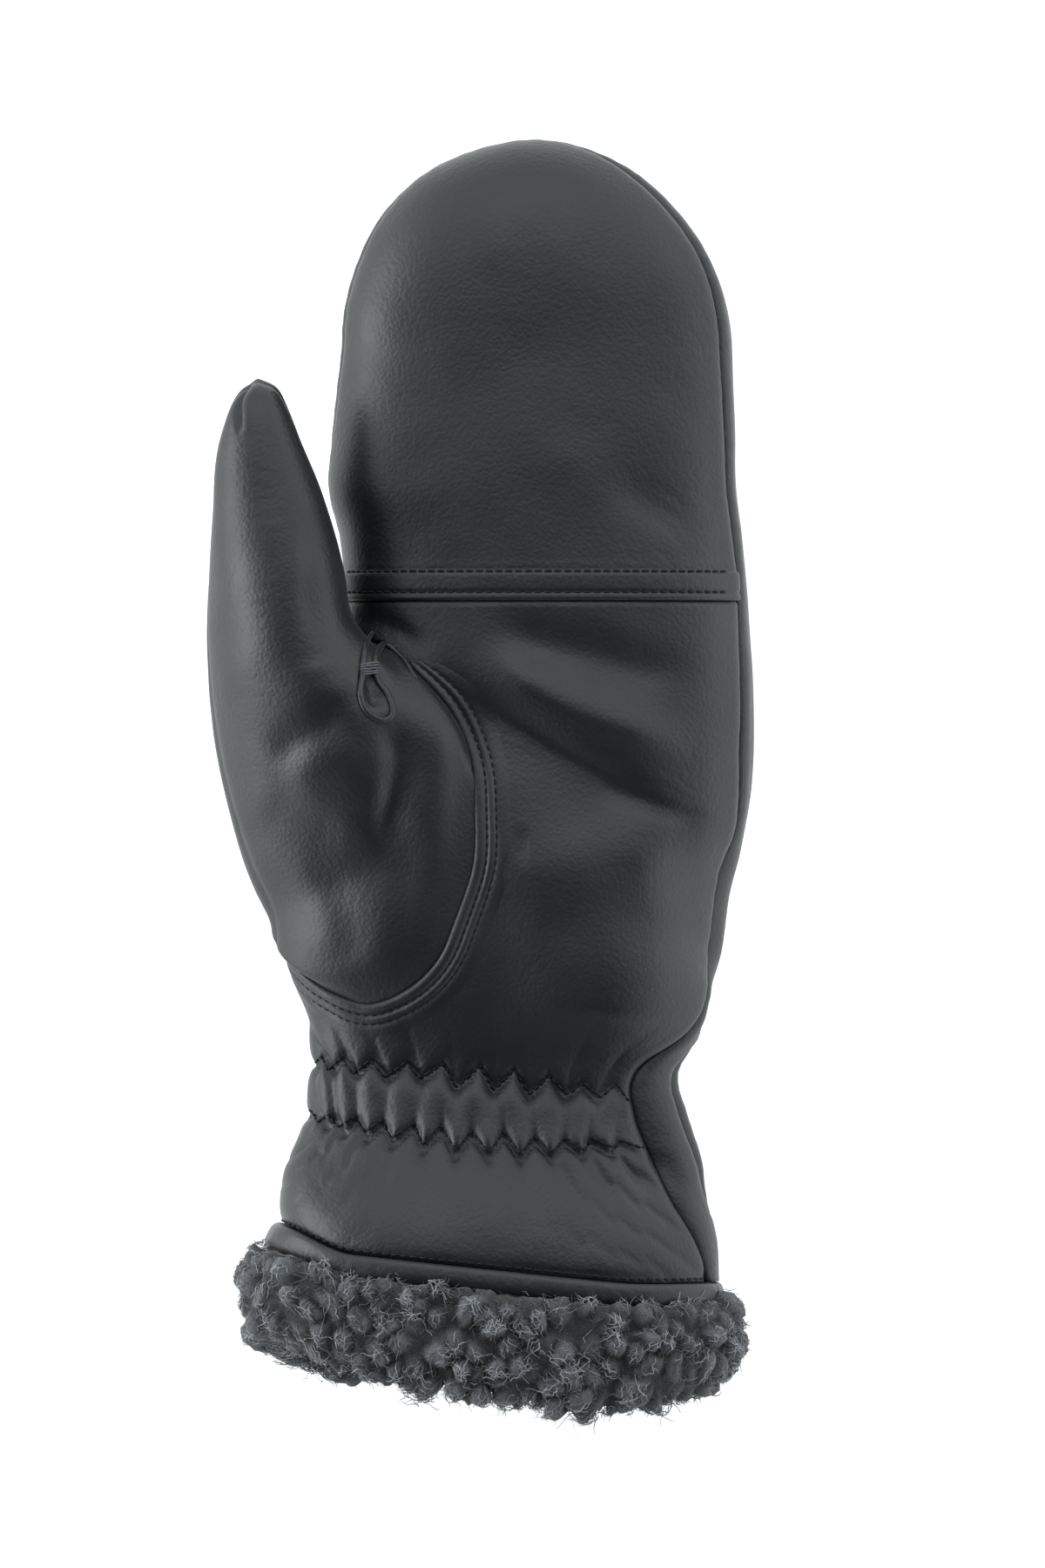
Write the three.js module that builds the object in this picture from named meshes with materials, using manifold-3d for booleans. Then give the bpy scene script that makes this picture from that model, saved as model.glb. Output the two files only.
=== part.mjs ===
// A left-hand leather mitten, lying on its back with the palm up and the fingers towards +Y.
// Millimetres, +Z up. The origin is on the flat patch where the back of the hand rests.
import * as THREE from "three";
import { mergeVertices } from "three/addons/utils/BufferGeometryUtils.js";
import Module from "manifold-3d";

// Driving dimensions
const LEATHER_LENGTH = 236; // cuff edge to fingertip, along the middle of the palm
const HAND_WIDTH = 92; // across the root of the thumb
const HAND_THICKNESS = 45; // palm to back
const CUFF_TO_ORIGIN = 101; // cuff edge to the origin, along Y
const WALL = 2; // leather with its bonded backing
const SEAM_GAP = 0.3; // between neighbouring panels
const PALM_ROUNDNESS = 2.35; // exponent of the palm half of each section
const BACK_ROUNDNESS = 2.9; // exponent of the back half, flatter where it rests

const THUMB_LENGTH = 61; // from its middle to the tip
const THUMB_WIDTH = 32; // across the fullest ring
const THUMB_THICKNESS = 36;
const THUMB_CLEARANCE = 1.9; // to the side of the hand that it lies against
const THUMB_SIDE_SLOPE = 0.1; // of the seams between its palm side and its back side
const THUMB_MIDDLE = new THREE.Vector3(-51.5, 25, 34); // in the fullest ring

const HEM_WIDTH = 7; // turned hem of the finger panel, laid over the heel panel
const HEM_RISE = 0.7;
const GATHER_TEETH = 10; // zigzag teeth of each elastic row, across the palm
const GATHER_RISE = 1.5; // puff of the leather between the rows
const FLUTE_RISE = 1.3; // pleats that run on from the rows
const FLUTE_REACH = 17; // how far the pleats run before they fade

const BINDING_DIAMETER = 4.4;
const WELT_DIAMETER = 1.6;
const WOOL_LENGTH = 27; // beyond the binding
const WOOL_PROUD = 6.5; // how far the wool stands out past the leather
const WOOL_INSIDE = 16; // turned up inside the cuff
const WOOL_LINING = 3.6; // thickness inside the cuff
const WOOL_LOCKS = 20; // round the ring
const WOOL_LOCK_RISE = 2.2;

// Sections of the hand from the cuff edge to the root of the fingertip. along is a share of
// LEATHER_LENGTH, left and right are shares of HAND_WIDTH from the middle line, slant is in degrees,
// and level (the silhouette), top and under are shares of HAND_THICKNESS.
const SECTIONS = [
  { along: 0.0, left: -0.57, right: 0.439, slant: -6, level: 0.6, top: 1.18, under: 0.035 },
  { along: 0.035, left: -0.568, right: 0.433, slant: -6, level: 0.59, top: 1.15, under: 0.035 },
  { along: 0.073, left: -0.556, right: 0.411, slant: -5.5, level: 0.57, top: 1.09, under: 0.05 },
  { along: 0.112, left: -0.528, right: 0.395, slant: -5, level: 0.55, top: 1.01, under: 0.075 },
  { along: 0.147, left: -0.514, right: 0.364, slant: -4.5, level: 0.53, top: 0.95, under: 0.1 },
  { along: 0.182, left: -0.498, right: 0.342, slant: -4, level: 0.51, top: 0.93, under: 0.1 },
  { along: 0.213, left: -0.502, right: 0.387, slant: -3, level: 0.5, top: 0.94, under: 0.06 },
  { along: 0.244, left: -0.53, right: 0.409, slant: -2, level: 0.49, top: 0.97, under: 0.02 },
  { along: 0.282, left: -0.544, right: 0.443, slant: -1, level: 0.48, top: 1.0, under: -0.01 },
  { along: 0.329, left: -0.538, right: 0.462, slant: 0, level: 0.47, top: 1.02, under: -0.03 },
  { along: 0.367, left: -0.524, right: 0.486, slant: 0, level: 0.47, top: 1.03, under: -0.035 },
  { along: 0.429, left: -0.496, right: 0.512, slant: 0, level: 0.47, top: 1.03, under: -0.035 },
  { along: 0.507, left: -0.452, right: 0.514, slant: 0, level: 0.47, top: 1.02, under: -0.035 },
  { along: 0.584, left: -0.417, right: 0.506, slant: 0, level: 0.47, top: 1.0, under: -0.035 },
  { along: 0.646, left: -0.424, right: 0.492, slant: 0, level: 0.47, top: 0.99, under: -0.03 },
  { along: 0.692, left: -0.45, right: 0.477, slant: 0, level: 0.47, top: 0.98, under: -0.03 },
  { along: 0.739, left: -0.441, right: 0.473, slant: 0, level: 0.47, top: 0.96, under: -0.03 },
  { along: 0.816, left: -0.419, right: 0.465, slant: 0, level: 0.47, top: 0.92, under: -0.025 },
];
const FINGERTIP = { rootAlong: 0.816, leftRoundness: 2.12, rightRoundness: 1.88 };

// Where the side gusset's two seams run. station goes up the thumb side from 0 at the cuff to 1 at the
// fingertip's root, round the tip to 2 and down the outer side to 3. palm and back are degrees on the
// section, 0 at the silhouette and 90 on the middle line of the palm.
const GUSSET_SEAMS = [
  { station: 0.0, palm: -24, back: -46 },
  { station: 0.5, palm: -30, back: -50 },
  { station: 0.78, palm: -12, back: -40 },
  { station: 0.93, palm: 4, back: -34 },
  { station: 1.12, palm: 5, back: -34 },
  { station: 1.5, palm: 0, back: -38 },
  { station: 1.75, palm: 14, back: -32 },
  { station: 2.0, palm: 19, back: -28 },
  { station: 2.2, palm: 17, back: -28 },
  { station: 2.45, palm: 19, back: -28 },
  { station: 2.63, palm: 8, back: -24 },
  { station: 2.71, palm: 14, back: -12 },
  { station: 2.79, palm: 42, back: 14 },
  { station: 2.88, palm: 36, back: 10 },
  { station: 3.0, palm: 16, back: -16 },
];

const FINGER_SEAM_ALONG = 0.59; // the seam across the palm
const ELASTIC = { upperAlong: 0.166, lowerAlong: 0.12, toothHeight: 0.011 };

// Folds of the palm, as straight creases seen from above. x is a share of HAND_WIDTH from the middle
// line, along a share of LEATHER_LENGTH, spread a share of HAND_WIDTH, rise a share of HAND_THICKNESS.
const PALM_FOLDS = [
  { x0: -0.25, along0: 0.56, x1: 0.18, along1: 0.44, spread: 0.075, rise: -0.085 },
  { x0: -0.1, along0: 0.57, x1: 0.43, along1: 0.44, spread: 0.07, rise: 0.045 },
  { x0: 0.08, along0: 0.43, x1: 0.42, along1: 0.405, spread: 0.05, rise: -0.045 },
  { x0: 0.02, along0: 0.355, x1: 0.43, along1: 0.39, spread: 0.065, rise: 0.03 },
  { x0: -0.05, along0: 0.205, x1: 0.37, along1: 0.215, spread: 0.06, rise: -0.04 },
  { x0: 0.16, along0: 0.7, x1: 0.44, along1: 0.645, spread: 0.06, rise: -0.035 },
];
const THUMB_FOLDS = [
  { x0: -0.36, along0: 0.53, x1: -0.335, along1: 0.465, spread: 0.05, rise: -0.15 },
  { x0: -0.325, along0: 0.5, x1: -0.32, along1: 0.35, spread: 0.035, rise: -0.075 },
  { x0: -0.62, along0: 0.43, x1: -0.42, along1: 0.425, spread: 0.05, rise: -0.03 },
];

// The thumb's seam on the palm, a closed loop. turn is degrees round the thumb from the crotch, along
// a share of LEATHER_LENGTH and around the degrees on the section, 90 on the middle line of the palm
// and 180 at the silhouette on the thumb side.
const THUMB_SEAM = [
  { turn: 0, along: 0.5545, around: 141 },
  { turn: 20, along: 0.53, around: 124 },
  { turn: 40, along: 0.495, around: 111 },
  { turn: 65, along: 0.452, around: 103 },
  { turn: 90, along: 0.402, around: 99.5 },
  { turn: 112, along: 0.352, around: 97.6 },
  { turn: 132, along: 0.305, around: 100 },
  { turn: 150, along: 0.267, around: 104 },
  { turn: 166, along: 0.24, around: 113 },
  { turn: 180, along: 0.225, around: 127.7 },
  { turn: 196, along: 0.235, around: 143 },
  { turn: 212, along: 0.258, around: 162 },
  { turn: 230, along: 0.29, around: 182 },
  { turn: 250, along: 0.34, around: 196 },
  { turn: 275, along: 0.406, around: 201 },
  { turn: 300, along: 0.468, around: 196 },
  { turn: 325, along: 0.518, around: 180 },
  { turn: 345, along: 0.547, around: 160 },
];

// Rings of the thumb from the ball of the thumb to just short of the tip, each by the four points that
// it passes on its crotch, palm, outer and back sides. A point is [x, along, z], as shares of THUMB_WIDTH,
// THUMB_LENGTH and THUMB_THICKNESS from the thumb's middle.
const THUMB_RINGS = [
  { crotch: [0.54, 0.09, 0.097], palm: [0.837, -0.454, 0.43], outer: [-0.131, -0.8, -0.167], back: [0.156, -0.31, -0.61] },
  { crotch: [0.509, 0.131, 0.125], palm: [0.437, -0.29, 0.514], outer: [-0.372, -0.41, -0.097], back: [0.047, -0.148, -0.556] },
  { crotch: [0.462, 0.17, 0.125], palm: [0.069, -0.005, 0.528], outer: [-0.481, 0.039, -0.028], back: [-0.016, 0.066, -0.417] },
  { crotch: [0.416, 0.325, 0.13], palm: [-0.006, 0.339, 0.5], outer: [-0.469, 0.339, 0.07], back: [-0.016, 0.339, -0.25] },
  { crotch: [0.312, 0.534, 0.139], palm: [-0.062, 0.549, 0.444], outer: [-0.447, 0.534, 0.111], back: [-0.062, 0.549, -0.18] },
  { crotch: [0.159, 0.743, 0.139], palm: [-0.125, 0.743, 0.375], outer: [-0.419, 0.743, 0.125], back: [-0.125, 0.743, -0.097] },
  { crotch: [0.05, 0.879, 0.133], palm: [-0.137, 0.879, 0.306], outer: [-0.331, 0.879, 0.128], back: [-0.137, 0.879, -0.028] },
  { crotch: [-0.028, 0.952, 0.125], palm: [-0.144, 0.948, 0.217], outer: [-0.253, 0.952, 0.122], back: [-0.144, 0.948, 0.028] },
];
const THUMB_TIP = [-0.15, 0.977, 0.119];

// The keyhole loop of turned leather in the thumb's crotch, seen from above. x is a share of
// THUMB_WIDTH and along a share of THUMB_LENGTH, both from the thumb's middle.
const KEYHOLE = [
  { x: 0.6, along: 0.03 },
  { x: 0.545, along: 0.01 },
  { x: 0.528, along: -0.035 },
  { x: 0.512, along: -0.09 },
  { x: 0.523, along: -0.15 },
  { x: 0.563, along: -0.182 },
  { x: 0.655, along: -0.212 },
  { x: 0.71, along: -0.197 },
  { x: 0.722, along: -0.172 },
  { x: 0.7, along: -0.14 },
  { x: 0.638, along: -0.085 },
  { x: 0.612, along: -0.035 },
  { x: 0.64, along: 0.01 },
];

// Materials
const blackLeather = (roughness) => new THREE.MeshStandardMaterial({ color: 0x1d1f22, roughness, metalness: 0 });
const PALM_LEATHER = blackLeather(0.42);
const BACK_LEATHER = blackLeather(0.44);
const BINDING_LEATHER = blackLeather(0.5);
const CURLY_WOOL = new THREE.MeshStandardMaterial({ color: 0x3f4246, roughness: 0.95, metalness: 0 });

const radians = THREE.MathUtils.degToRad;
const signedPower = (value, power) => Math.sign(value) * Math.abs(value) ** power;
const steps = (count, from = 0, to = 1) => Array.from({ length: count + 1 }, (_, i) => from + ((to - from) * i) / count);

// The value of one column of a table at a place along another, on a smooth curve through the rows.
function column(rows, key, place, value) {
  const last = rows.length - 1;
  let i = 0;
  while (i < last - 1 && rows[i + 1][key] < place) i++;
  const [a, b] = [rows[i], rows[i + 1]];
  const t = THREE.MathUtils.clamp((place - a[key]) / (b[key] - a[key]), 0, 1);
  const slope = (k) => {
    const [p, q] = [rows[Math.max(k - 1, 0)], rows[Math.min(k + 1, last)]];
    return ((q[value] - p[value]) / (q[key] - p[key])) * (b[key] - a[key]);
  };
  const [t2, t3] = [t * t, t * t * t];
  return (
    (2 * t3 - 3 * t2 + 1) * a[value] +
    (t3 - 2 * t2 + t) * slope(i) +
    (3 * t2 - 2 * t3) * b[value] +
    (t3 - t2) * slope(i + 1)
  );
}

// A sheet of leather: a surface whose every vertex has an outer and an inner point.
class Sheet {
  constructor() {
    this.ids = new Map();
    this.outer = [];
    this.inner = [];
    this.triangles = [];
  }

  vertex({ outer, inner }) {
    const key = outer.toArray().map((v) => v.toFixed(3)).join();
    if (!this.ids.has(key)) {
      this.ids.set(key, this.outer.length);
      this.outer.push(outer);
      this.inner.push(inner);
    }
    return this.ids.get(key);
  }

  // A grid of quads. Coincident points merge, so a row may shrink to one point.
  patch(rows, cols, place) {
    const id = rows.map((r) => cols.map((c) => this.vertex(place(r, c))));
    for (let i = 0; i + 1 < rows.length; i++)
      for (let j = 0; j + 1 < cols.length; j++) {
        const [a, b, c, d] = [id[i][j], id[i + 1][j], id[i + 1][j + 1], id[i][j + 1]];
        for (const t of [[a, b, c], [a, c, d]]) if (new Set(t).size === 3) this.triangles.push(t);
      }
    return this;
  }

  // The closed wall: both faces, joined by a rim along every free edge.
  wall() {
    const n = this.outer.length;
    const faces = this.triangles.flatMap(([a, b, c]) => [[a, b, c], [c + n, b + n, a + n]]);
    const edges = new Map();
    for (const [a, b, c] of this.triangles)
      for (const [p, q] of [[a, b], [b, c], [c, a]]) {
        if (edges.has(`${q},${p}`)) edges.delete(`${q},${p}`);
        else edges.set(`${p},${q}`, [p, q]);
      }
    for (const [p, q] of edges.values()) faces.push([q, p, p + n], [q, p + n, q + n]);
    return closedGeometry([...this.outer, ...this.inner], faces);
  }
}

// A geometry from points and triangles, turned so that its faces point out.
function closedGeometry(points, faces) {
  let volume = 0;
  const cross = new THREE.Vector3();
  for (const [a, b, c] of faces) volume += points[a].dot(cross.crossVectors(points[b], points[c]));
  const index = faces.flatMap(([a, b, c]) => (volume < 0 ? [a, c, b] : [a, b, c]));
  const geometry = new THREE.BufferGeometry();
  geometry.setAttribute("position", new THREE.Float32BufferAttribute(points.flatMap((p) => p.toArray()), 3));
  geometry.setIndex(index);
  return geometry;
}

// The hand

// Centre line point, silhouette point and heights at a station round the outline.
function outlineAt(station) {
  const onTip = station > 1 && station < 2;
  const share = station <= 1 ? station : station >= 2 ? 3 - station : 1;
  const along = share * FINGERTIP.rootAlong;
  const at = (value) => column(SECTIONS, "along", along, value);
  const [left, right] = [at("left") * HAND_WIDTH, at("right") * HAND_WIDTH];
  const middle = new THREE.Vector2((left + right) / 2, along * LEATHER_LENGTH - CUFF_TO_ORIGIN);
  const half = (right - left) / 2;
  const edge = middle.clone();
  if (onTip) {
    const turn = Math.PI * (2 - station);
    const roundness = station < 1.5 ? FINGERTIP.leftRoundness : FINGERTIP.rightRoundness;
    edge.x += half * signedPower(Math.cos(turn), 2 / roundness);
    edge.y += (1 - FINGERTIP.rootAlong) * LEATHER_LENGTH * signedPower(Math.sin(turn), 2 / roundness);
  } else {
    const side = station <= 1 ? -1 : 1;
    edge.x += side * half;
    edge.y += side * half * Math.tan(radians(at("slant")));
  }
  const height = (value) => at(value) * HAND_THICKNESS;
  return { middle, edge, level: height("level"), top: height("top"), under: height("under") };
}

// A point of the smooth hand. angle is 0 at the silhouette, 90 on the palm's middle line and -90 on the back's.
function smoothHand(station, angle) {
  const { middle, edge, level, top, under } = outlineAt(station);
  const power = 2 / (angle > 0 ? PALM_ROUNDNESS : BACK_ROUNDNESS);
  const out = Math.max(Math.cos(radians(angle)), 0) ** power;
  const rise = Math.abs(Math.sin(radians(angle))) ** power;
  const z = angle > 0 ? level + (top - level) * rise : level - (level - under) * rise;
  return new THREE.Vector3(...middle.clone().lerp(edge, out), z);
}

const NUDGE = 0.004; // of a station or a turn, to take a slope by difference
function handNormal(station, angle) {
  const a = THREE.MathUtils.clamp(angle, -88, 88);
  const s = THREE.MathUtils.clamp(station, NUDGE, 3 - NUDGE);
  const alongOutline = smoothHand(s + NUDGE, a).sub(smoothHand(s - NUDGE, a));
  const overTop = smoothHand(s, a + 1).sub(smoothHand(s, a - 1));
  return overTop.cross(alongOutline).normalize();
}

// How far a crease lifts or sinks the leather at a point seen from above.
function creases(folds, x, y) {
  let rise = 0;
  for (const fold of folds) {
    const from = new THREE.Vector2(fold.x0 * HAND_WIDTH, fold.along0 * LEATHER_LENGTH - CUFF_TO_ORIGIN);
    const to = new THREE.Vector2(fold.x1 * HAND_WIDTH, fold.along1 * LEATHER_LENGTH - CUFF_TO_ORIGIN);
    const run = to.clone().sub(from);
    const point = new THREE.Vector2(x, y).sub(from);
    const share = THREE.MathUtils.clamp(point.dot(run) / run.lengthSq(), 0, 1);
    const away = point.sub(run.multiplyScalar(share)).length() / (fold.spread * HAND_WIDTH);
    rise += fold.rise * HAND_THICKNESS * Math.exp(-away * away);
  }
  return rise;
}

// The elastic's two zigzag rows, the puffs between them and the pleats that run on. across is 0 to 1.
function gathers(along, across) {
  const phase = across * GATHER_TEETH;
  const tooth = ELASTIC.toothHeight * Math.cos(2 * Math.PI * phase);
  const [upper, lower] = [ELASTIC.upperAlong + tooth, ELASTIC.lowerAlong - tooth];
  if (along > lower && along < upper)
    return GATHER_RISE * Math.sin((Math.PI * (along - lower)) / (upper - lower)) * Math.cos(Math.PI * phase) ** 2;
  const away = (Math.max(along - upper, lower - along) * LEATHER_LENGTH) / FLUTE_REACH;
  const fade = THREE.MathUtils.smoothstep(away, 0, 0.25) * (1 - THREE.MathUtils.smoothstep(away, 0.3, 1));
  return -FLUTE_RISE * Math.cos(Math.PI * phase) ** 2 * fade;
}

// The two points of the wall at a place on the hand, resting flat where it would pass below the floor.
function handWall(station, angle, rise = () => 0) {
  const normal = handNormal(station, angle);
  const base = smoothHand(station, angle);
  const outer = base.clone().addScaledVector(normal, rise(base));
  const inner = outer.clone().addScaledVector(normal, -WALL);
  outer.z = Math.max(outer.z, 0);
  inner.z = Math.max(inner.z, WALL);
  return { outer, inner };
}

// A seam's angle, moved by a distance over the leather.
function seamAngle(station, which, distance) {
  const angle = column(GUSSET_SEAMS, "station", station, which);
  const perDegree = smoothHand(station, angle + 1).distanceTo(smoothHand(station, angle));
  return angle + distance / perDegree;
}

// A station on either side by its share of LEATHER_LENGTH.
const stationOf = (along, side) => (side < 0 ? along / FINGERTIP.rootAlong : 3 - along / FINGERTIP.rootAlong);
const lengthShare = (millimetres) => millimetres / LEATHER_LENGTH;

// Rows that the panels share, so that their seams meet point by point.
const HEM_FROM = FINGER_SEAM_ALONG + lengthShare(SEAM_GAP / 2);
const HEM_TO = HEM_FROM + lengthShare(HEM_WIDTH);
const HEEL_TO = FINGER_SEAM_ALONG - lengthShare(SEAM_GAP / 2);
const elasticRows = ["lowerAlong", "upperAlong"].map((row) =>
  steps(2, ELASTIC[row] - ELASTIC.toothHeight, ELASTIC[row] + ELASTIC.toothHeight),
);
const heelRows = [
  ...steps(2, 0, ELASTIC.lowerAlong * 0.6),
  ...elasticRows[0],
  (ELASTIC.lowerAlong + ELASTIC.upperAlong) / 2,
  ...elasticRows[1],
  ...[0.2, 0.225, 0.255],
  ...steps(5, 0.3, HEEL_TO),
];
const fingerRows = [HEM_FROM, HEM_TO, HEM_TO + lengthShare(1), ...steps(2, 0.68, 0.775)];
const tipStations = steps(12, 1, 2);
const stationsFor = (rows) => [
  ...rows.map((along) => stationOf(along, -1)),
  ...tipStations,
  ...rows.map((along) => stationOf(along, 1)).reverse(),
];

// A half of a panel row: share 0 at its seam and 1 on the middle line.
const palmAngle = (station, share) =>
  THREE.MathUtils.lerp(seamAngle(station, "palm", SEAM_GAP / 2), 90, share);
const backAngle = (station, share) =>
  THREE.MathUtils.lerp(seamAngle(station, "back", -SEAM_GAP / 2), -90, share);

function fingerPanel() {
  const rise = (p) => {
    const along = lengthShare(p.y + CUFF_TO_ORIGIN);
    const onHem = THREE.MathUtils.smoothstep(HEM_TO + lengthShare(1) - along, 0, lengthShare(1));
    return HEM_RISE * onHem + creases(PALM_FOLDS, p.x, p.y);
  };
  const place = (s, share) => handWall(s, palmAngle(s, share), rise);
  return new Sheet().patch(stationsFor(fingerRows), steps(9), place).wall();
}

function heelPanel() {
  const sheet = new Sheet();
  for (const side of [-1, 1]) {
    const place = (along, share) => {
      const station = stationOf(along, side);
      const across = (1 + side * (1 - share)) / 2;
      const rise = (p) => gathers(along, across) + creases(PALM_FOLDS, p.x, p.y);
      return handWall(station, palmAngle(station, share), rise);
    };
    sheet.patch(side < 0 ? heelRows : heelRows.toReversed(), steps(GATHER_TEETH * 2), place);
  }
  return sheet.wall();
}

function backPanel() {
  const place = (s, share) => handWall(s, backAngle(s, share));
  return new Sheet().patch(stationsFor([...heelRows, ...fingerRows]), steps(5), place).wall();
}

function sideGusset() {
  const place = (s, share) => {
    const [low, high] = [seamAngle(s, "back", SEAM_GAP / 2), seamAngle(s, "palm", -SEAM_GAP / 2)];
    return handWall(s, THREE.MathUtils.lerp(low, high, share));
  };
  return new Sheet().patch(stationsFor([...heelRows, ...fingerRows]), steps(3), place).wall();
}

// The thumb

// A point of the thumb's seam on the hand, with the hand's normal there. inset moves it into the loop.
function thumbSeamAt(turn, inset = 0) {
  const wrapped = ((turn % 360) + 360) % 360;
  const first = THUMB_SEAM[0];
  const last = THUMB_SEAM.at(-1);
  const rows = [{ ...last, turn: last.turn - 360 }, ...THUMB_SEAM, { ...first, turn: 360 }];
  rows.push({ ...THUMB_SEAM[1], turn: 360 + THUMB_SEAM[1].turn });
  const place = (t) => {
    const [along, around] = ["along", "around"].map((value) => column(rows, "turn", t, value));
    const side = around > 90 ? -1 : 1;
    return [stationOf(along, side), around > 90 ? 180 - around : around];
  };
  const point = smoothHand(...place(wrapped));
  const normal = handNormal(...place(wrapped));
  const ahead = smoothHand(...place(wrapped + 1));
  const outward = normal.clone().cross(ahead.sub(point)).normalize();
  return { point: point.addScaledVector(outward, -inset), normal, outward };
}

const thumbPoint = ([x, along, z]) =>
  new THREE.Vector3(x * THUMB_WIDTH, along * THUMB_LENGTH, z * THUMB_THICKNESS).add(THUMB_MIDDLE);

// A point of a ring of the thumb: the smooth closed curve through its four points.
function thumbRingAt(ring, turn) {
  const [crotch, palm, outer, back] = [ring.crotch, ring.palm, ring.outer, ring.back].map(thumbPoint);
  const mean = crotch.clone().add(palm).add(outer).add(back).divideScalar(4);
  const across = crotch.clone().sub(outer).divideScalar(2);
  const through = palm.clone().sub(back).divideScalar(2);
  const saddle = crotch.clone().add(outer).sub(palm).sub(back).divideScalar(4);
  const angle = radians(turn);
  return mean
    .addScaledVector(across, Math.cos(angle))
    .addScaledVector(through, Math.sin(angle))
    .addScaledVector(saddle, Math.cos(2 * angle));
}

// Moves a point that lies in the hand out through its side, to leave a gap.
function clearOfHand(point, gap) {
  const along = lengthShare(point.y + CUFF_TO_ORIGIN);
  const { middle, edge, level, top, under } = outlineAt(stationOf(along, -1));
  const across = (point.x - middle.x) / middle.distanceTo(edge);
  const up = (point.z - level) / (point.z > level ? top - level : level - under);
  const roundness = point.z > level ? PALM_ROUNDNESS : BACK_ROUNDNESS;
  const depth = (Math.abs(across) ** roundness + Math.abs(up) ** roundness) ** (1 / roundness);
  const clear = 1 + gap / (level - under);
  if (depth >= clear) return point;
  point.x = middle.x + ((point.x - middle.x) * clear) / depth;
  point.z = level + ((point.z - level) * clear) / depth;
  return point;
}

// How far the thumb's leather stands up from the palm at its seam: 1 in the crotch, 0 on the ball.
const standsUp = (turn) => THREE.MathUtils.smoothstep(Math.cos(radians(turn)), 0.25, 0.75);

// One line of the thumb from its seam on the hand to the tip.
function thumbLine(turn) {
  const { point, normal } = thumbSeamAt(turn, SEAM_GAP);
  const stand = standsUp(turn);
  const foot = point.clone().addScaledVector(normal, -0.4 * WALL * stand);
  const bend = point.clone().addScaledVector(normal, 0.9 * WALL * stand);
  const start = stand > 0.01 ? [foot, bend] : [point];
  const rings = THUMB_RINGS.map((ring) => thumbRingAt(ring, turn));
  return new THREE.CatmullRomCurve3([...start, ...rings, thumbPoint(THUMB_TIP)], false, "centripetal");
}

function thumbShell() {
  const turns = steps(24, 0, 360);
  const shares = [0, 0.03, 0.07, ...steps(8, 0.14, 0.9), 0.94, 0.975, 1];
  const line = new Map(turns.flatMap((t) => [t - 1, t, t + 1]).map((t) => [t, thumbLine(t)]));
  const surface = (share, turn) => {
    const point = line.get(turn).getPoint(share);
    const gap = THUMB_CLEARANCE * THREE.MathUtils.smoothstep(share, 0.01, 0.05);
    return share > 0.01 ? clearOfHand(point, gap) : point;
  };
  const place = (share, turn) => {
    const [low, high] = [Math.max(share - NUDGE, 0), Math.min(share + NUDGE, 1 - NUDGE)];
    const along = surface(high, turn).sub(surface(low, turn));
    const around = surface(high, turn + 1).sub(surface(high, turn - 1));
    const own = along.cross(around).normalize();
    const { normal, outward } = thumbSeamAt(turn);
    normal.lerp(outward, standsUp(turn)).lerp(own, THREE.MathUtils.smoothstep(share, 0, 0.1)).normalize();
    if (share === 1) normal.set(0, 1, 0);
    const point = surface(share, turn);
    const facing = THREE.MathUtils.smoothstep(normal.z, 0, 0.5) * THREE.MathUtils.smoothstep(share, 0, 0.12);
    const outer = point.clone().addScaledVector(normal, facing * creases(THUMB_FOLDS, point.x, point.y));
    return { outer, inner: outer.clone().addScaledVector(normal, -WALL) };
  };
  return new Sheet().patch(shares, turns, place).wall();
}

// A plug through the hand's wall inside the thumb's seam, to cut the hole that the thumb is set in.
function thumbHolePlug() {
  const turns = steps(52, 0, 360).slice(0, -1);
  const seam = turns.map((t) => thumbSeamAt(t));
  const ring = (reach) => seam.map(({ point, normal }) => point.clone().addScaledVector(normal, reach));
  const middle = seam.reduce((sum, { point }) => sum.add(point), new THREE.Vector3()).divideScalar(seam.length);
  const outward = seam.reduce((sum, { normal }) => sum.add(normal), new THREE.Vector3()).normalize();
  const points = [...ring(WALL), ...ring(-2 * WALL)];
  points.push(middle.clone().addScaledVector(outward, HAND_THICKNESS), middle.clone().addScaledVector(outward, -2 * WALL));
  const n = seam.length;
  const faces = [];
  for (let i = 0; i < n; i++) {
    const j = (i + 1) % n;
    faces.push([i, j, 2 * n], [j + n, i + n, 2 * n + 1], [j, i, i + n], [j, i + n, j + n]);
  }
  return closedGeometry(points, faces);
}

// The keyhole loop, a round welt laid on the leather below it.
function keyholeWelt(carriers) {
  const above = new THREE.Vector3(0, 0, 3 * HAND_THICKNESS);
  const ray = new THREE.Raycaster();
  const fromAbove = new THREE.CatmullRomCurve3(KEYHOLE.map(({ x, along }) => thumbPoint([x, along, 0])));
  const path = fromAbove.getSpacedPoints(2 * KEYHOLE.length).map((place) => {
    ray.set(place.add(above), new THREE.Vector3(0, 0, -1));
    const [hit] = ray.intersectObjects(carriers);
    return hit.point.addScaledVector(hit.face.normal, WELT_DIAMETER / 2 + 3 * SEAM_GAP);
  });
  const section = new THREE.Shape().absarc(0, 0, WELT_DIAMETER / 2, 0, 2 * Math.PI);
  return new THREE.ExtrudeGeometry(section, {
    curveSegments: 5,
    steps: 30,
    extrudePath: new THREE.CatmullRomCurve3(path),
  });
}

// The cuff

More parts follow.
